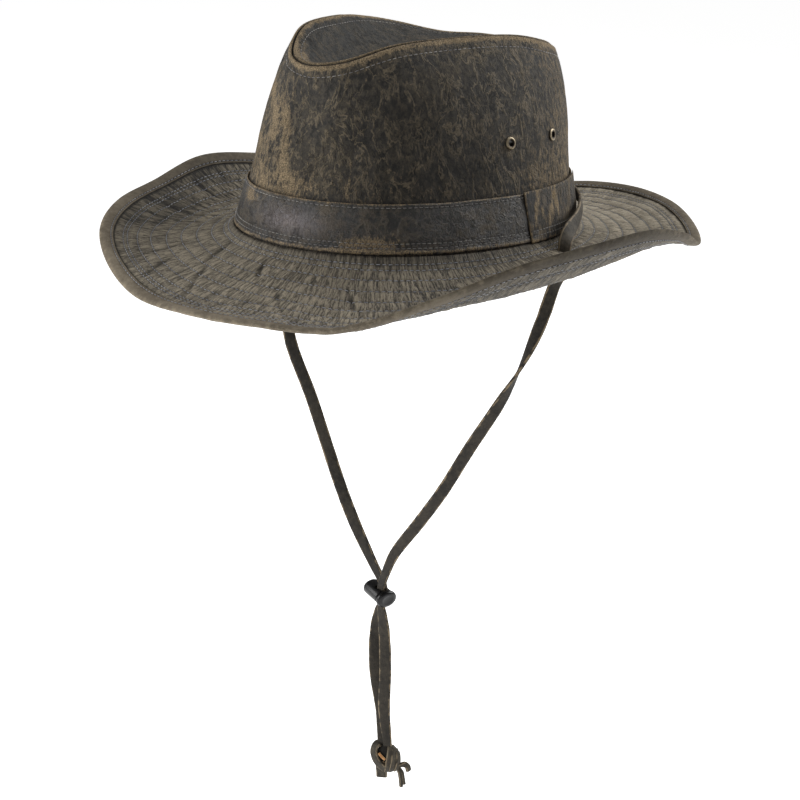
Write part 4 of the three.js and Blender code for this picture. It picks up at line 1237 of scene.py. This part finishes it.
def bandSkin(degrees, up, out):
    t = np.radians(degrees)
    ripple = bumps(np.cos(t) * 7, np.sin(t) * 7, up / 16)
    small = bumps(np.cos(t) * 26, np.sin(t) * 26, up / 6)
    dips = np.min(np.abs(up[..., None] - np.array(bandLoom["stitches"])), -1)
    held = np.clip(dips / 2.5, 0, 1)
    swell = np.where(out > 1.0, (0.35 * ripple + 0.12 * small) * held, 0)
    wave = 0.25 * bumps(np.cos(t) * 5, np.sin(t) * 5, 9 + 0 * up)
    return offWall(degrees, hat["bandLift"] + up + wave, out + swell), swell


def buildBand():
    degrees = (np.arange(bandLoom["round"]) * 360 / bandLoom["round"])[:, None]
    profile = np.array(bandLoom["profile"])
    up = profile[:, 0][None, :] + 0 * degrees
    out = profile[:, 1][None, :] + 0 * degrees
    loops, swell = bandSkin(degrees, up, out)
    patch = hump(degrees - 34, 12) * hump(up - 5, 4)
    leftPatch = hump(turnFrom(degrees, -23), 7) * hump(up - 20, 5)
    rolled = 0.85 * hump(up - 1.1, 1.2) + 0.9 * hump(up - 25.1, 0.6)
    wear = rolled + 1.1 * patch + 1.1 * leftPatch
    # Painted reflection of a lamp on the band's front, where the cloth is also made glossier.
    sheen = hump(turnFrom(degrees, 3), 13) * hump(up - 13, 6)
    shade = 0.4 * hump(up - 3.1, 0.5) + 0.4 * hump(up - 5.4, 0.5)
    keeperEdge = keeper["frontBottom"] + (keeper["frontTop"] - keeper["frontBottom"]) * up / hat["bandHeight"]
    shade = shade + 0.3 * hump(up - 23.3, 0.5) + 0.9 * hump(degrees - keeperEdge + 0.5, 0.7)
    notes = wornNotes(wear, shade, sheen=sheen)
    return loopPiece(
        "hat_band_strip", loops, finishes["band"], replaced=["hat_band"], notes=notes)


buildBand()

# Light flames on the keeper.
keeperFlames = [
    # place along it, half width, lean for each mm up, share
    [0.08, 0.03, 0.004, 0.9], [0.17, 0.025, -0.003, 0.8], [0.28, 0.035, 0.005, 1.3], [0.38, 0.03, 0.0, 0.9],
    [0.55, 0.05, 0.0, 0.4], [0.8, 0.04, 0.003, 0.5],
]
keeperLoom = {
    "steps": 120, "overhang": 0.8, "stitches": [3.4, 6.0],
    "profile": [
        [0.2, 1.84], [0.0, 2.12], [0.35, 2.42], [1.2, 2.55], [2.4, 2.47], [3.4, 2.26], [4.4, 2.42],
        [5.2, 2.42], [6.0, 2.26],
        [6.8, 2.42], [9.0, 2.54], [13.0, 2.58], [16.7, 2.58], [21.7, 2.5], [25.2, 2.4], [26.3, 2.25],
        [26.8, 2.0],
        [26.6, 1.8], [19.7, 1.74], [12.7, 1.74], [7.0, 1.74],
    ],
}


def keeperSkin(share, up, out):
    full = hat["bandHeight"] + 2 * keeperLoom["overhang"]
    low = keeper["frontBottom"] + (keeper["back"] - keeper["frontBottom"]) * share
    high = keeper["frontTop"] + (keeper["back"] - keeper["frontTop"]) * share
    degrees = low + (high - low) * np.clip(up / full, 0, 1)
    t = np.radians(degrees)
    swell = np.where(out > 2.3, 0.25 * bumps(np.cos(t) * 9, np.sin(t) * 9, up / 14 + 4), 0)
    return offWall(degrees, hat["bandLift"] - keeperLoom["overhang"] + up, out + swell)


def buildKeeper():
    lean = np.linspace(0, 1, keeperLoom["steps"])
    share = [[0.0, 0.002, 0.006, 0.012], 0.02 + 0.96 * lean, [0.988, 0.994, 0.998, 1.0]]
    share = np.concatenate(share)[:, None]
    profile = np.array(keeperLoom["profile"])
    up = profile[:, 0][None, :] + 0 * share
    out = profile[:, 1][None, :] + 0 * share
    edge = np.minimum(share, 1 - share)
    ends = np.sqrt(np.clip(edge / 0.014, 0.05, 1))
    out = np.where(out > 1.85, 1.85 + (out - 1.85) * (0.25 + 0.75 * ends), out)
    loops = keeperSkin(share, up, out)
    wear = 0.7 * hump(up - 0.9, 1.2) + 0.6 * hump(share, 0.02)
    wear = wear + 0.5 * hump(up - 26.3, 0.8)
    for at, width, lean, part in keeperFlames:
        wear = wear + part * np.exp(-(((share - at - lean * (up - 13)) / width) ** 2)) * hump(up - 15, 9)
    shade = 0.4 * hump(up - 3.4, 0.5) + 0.4 * hump(up - 6.0, 0.5) + 0 * share
    return loopPiece(
        "band_keeper_tab", loops, finishes["keeper"], ring=False, replaced=["band_keeper"],
        notes=wornNotes(wear, shade))


buildKeeper()
print("band and keeper made")

# The eyelets.

eyeletProfile = [
    [1.55, 0.3], [1.6, 0.62], [1.85, 0.92], [2.25, 1.08], [2.7, 1.05], [3.1, 0.86], [3.4, 0.6],
    [3.5, 0.4], [3.4, 0.24],
    [2.9, 0.2], [2.12, 0.2], [2.1, -0.8], [2.1, -1.75], [2.8, -1.8], [3.1, -1.9], [3.0, -2.15],
    [2.3, -2.3], [1.7, -2.3], [1.55, -2.1],
]
for label, at, facing in eyeletPlaces:
    place = basisAlong(facing, at)
    loops = []
    for a in np.radians(np.arange(0, 360, 7.5)):
        loops.append([list(place @ Vector((r * math.cos(a), r * math.sin(a), h))) for r, h in eyeletProfile])
    profile = np.array(eyeletProfile)
    wear = hump(profile[:, 0] - 2.9, 0.4) * (profile[:, 1] > 0)
    shade = np.clip((2.3 - profile[:, 0]) * 2.2, 0, 1)
    shade = shade + 0.35 * ((profile[:, 0] > 3.3) & (profile[:, 1] < 0.5))
    notes = wornNotes(np.tile(wear, (len(loops), 1)), np.tile(shade, (len(loops), 1)))
    loopPiece(
        "eyelet_ring_" + label, loops, finishes["brass"], replaced=["eyelet_" + label],
        notes=notes)
print("eyelets made")

# Stitching: short threads that lie on the cloth from hole to hole.

thread = {"radius": 0.25, "lift": 0.12}


def stitchRow(path, normals, pitch=3.2, length=2.3, closed=True):
    path = np.asarray(path, float)
    normals = np.asarray(normals, float)
    if closed:
        path = np.vstack([path, path[:1]])
        normals = np.vstack([normals, normals[:1]])
    walked = np.concatenate([[0], np.cumsum(np.linalg.norm(np.diff(path, axis=0), axis=1))])
    count = max(1, int(walked[-1] / pitch))
    starts = (np.arange(count) + 0.5) * walked[-1] / count
    stations = np.array([-0.5, -0.34, 0, 0.34, 0.5])
    thick = np.array([0.25, 0.9, 1.0, 0.9, 0.25])
    rise = np.array([-0.9, 0.0, 0.35, 0.0, -0.9])
    at = starts[:, None] + stations[None, :] * length
    spot = np.stack([np.interp(at, walked, path[:, k]) for k in range(3)], -1)
    up = unit(np.stack([np.interp(at, walked, normals[:, k]) for k in range(3)], -1))
    along = unit(spot[:, 4:5] - spot[:, 0:1])
    side = unit(np.cross(up, along))
    spot = spot + up * (thread["lift"] + thread["radius"] * rise)[None, :, None]
    corners = []
    for a in (45, 135, 225, 315):
        s, c = math.sin(math.radians(a)), math.cos(math.radians(a))
        corners.append(spot + (side * c + up * s) * (thread["radius"] * thick)[None, :, None])
    return np.stack(corners, 2)


def stitchPiece(name, rows, finish):
    points, faces, start = [], [], 0
    for loops in rows:
        for one in loops:
            points.append(one.reshape(-1, 3))
            faces += gridFaces(5, 4, ringRows=False, start=start)
            faces += [[start + k for k in (0, 1, 2, 3)], [start + k for k in (19, 18, 17, 16)]]
            start += 20
    return meshPiece(name, np.vstack(points), faces, finish)


full = np.arange(0, 360, 0.5)
for label, side, distance in (("top", 1, 0.56), ("under", -1, -2.16)):
    rows = []
    for share in brimLoom["rows"]:
        skin, normal, raw = brimSkin(full, np.full(len(full), share), side)
        rows.append(stitchRow(skin, normal))
    stitchIn = np.full(len(full), bindingLoom["stitchIn"])
    skin, normal, swell = bindingSkin(full, stitchIn, np.full(len(full), distance))
    rows.append(stitchRow(skin, normal * side))
    stitchPiece("brim_stitching_" + label, rows, finishes["thread"])
rows = []
skin, normal, height, out = wallSkin(full, np.full(len(full), crownLoom["stitchDown"]))
rows.append(stitchRow(skin, normal, pitch=3.0))
skin, lift = tipSkin(full, np.full(len(full), tipLoom["stitchIn"]))
inner, lift = tipSkin(full, np.full(len(full), tipLoom["stitchIn"] + 0.6))
ahead = np.roll(skin, -1, 0) - np.roll(skin, 1, 0)
normal = unit(np.cross(ahead, inner - skin))
normal = normal * np.sign(normal[:, 2:3])
rows.append(stitchRow(skin, normal, pitch=3.0))
for up, out in ((3.1, 1.22), (5.4, 1.23), (23.3, 1.22)):
    flat = np.full(len(full), up)
    skin, swell = bandSkin(full, flat, np.full(len(full), out))
    normal = wallNormal(full, wallShare(full, hat["bandLift"] + flat))
    keeperFront = keeper["frontTop"] + (keeper["frontBottom"] - keeper["frontTop"]) * (1 - up / 26)
    hidden = (full > keeperFront) & (full < keeper["back"])
    seen = np.roll(np.arange(len(full)), -int((keeper["back"] + 1) * 2))
    seen = seen[~hidden[seen]]
    rows.append(stitchRow(skin[seen], normal[seen], 2.9, 2.2, closed=False))
for up in keeperLoom["stitches"]:
    share = np.linspace(0.02, 0.98, 90)
    skin = keeperSkin(share, np.full(90, up), np.full(90, 2.26))
    degrees = keeper["frontBottom"] + (keeper["back"] - keeper["frontBottom"]) * share
    normal = wallNormal(degrees, wallShare(degrees, np.full(90, hat["bandLift"] + up)))
    rows.append(stitchRow(skin, normal, 2.9, 2.2, closed=False))
stitchPiece("crown_stitching", rows, finishes["paleThread"])
print("stitching made")

# The light and the floor.

studio = {
    "floor": -0.37, "floorTone": tone(236, 236, 235), "floorGlow": 0.85, "world": 0.15,
    "lamps": [
        # name, place from the hat (right, up, toward the camera), size, power
        ("left", (-1.4, 0.35, 0.2), 1.0, 17),
        ("right", (1.25, 0.75, -0.55), 0.9, 20),
        ("top", (0.1, 1.5, -0.35), 1.1, 12),
        ("front", (-0.3, 0.5, 1.5), 1.0, 2),
    ],
}
bpy.ops.mesh.primitive_plane_add(size=14, location=(0, 0, studio["floor"]))
floor = bpy.context.object
floor.name = "studio_floor"
glow = {"Emission_Color": (1, 1, 1, 1), "Emission_Strength": studio["floorGlow"]}
floor.data.materials.append(Finish("pale_floor").done(studio["floorTone"], 0.9, **glow))
for name, (toRight, toUp, toBack), size, power in studio["lamps"]:
    lamp = bpy.data.lights.new(name, "AREA")
    lamp.size, lamp.energy = size, power
    made = bpy.data.objects.new(name, lamp)
    levelBack = Vector((viewBack.x, viewBack.y, 0)).normalized()
    at = viewRight * toRight + Vector((0, 0, toUp)) + levelBack * toBack
    made.matrix_world = basisAlong(at, at)
    bpy.context.scene.collection.objects.link(made)
world = bpy.data.worlds.new("studio")
world.use_nodes = True
world.node_tree.nodes["Background"].inputs["Color"].default_value = (1, 1, 1, 1)
world.node_tree.nodes["Background"].inputs["Strength"].default_value = studio["world"]
bpy.context.scene.world = world
bpy.context.scene.view_settings.view_transform = "Standard"
print("studio made")
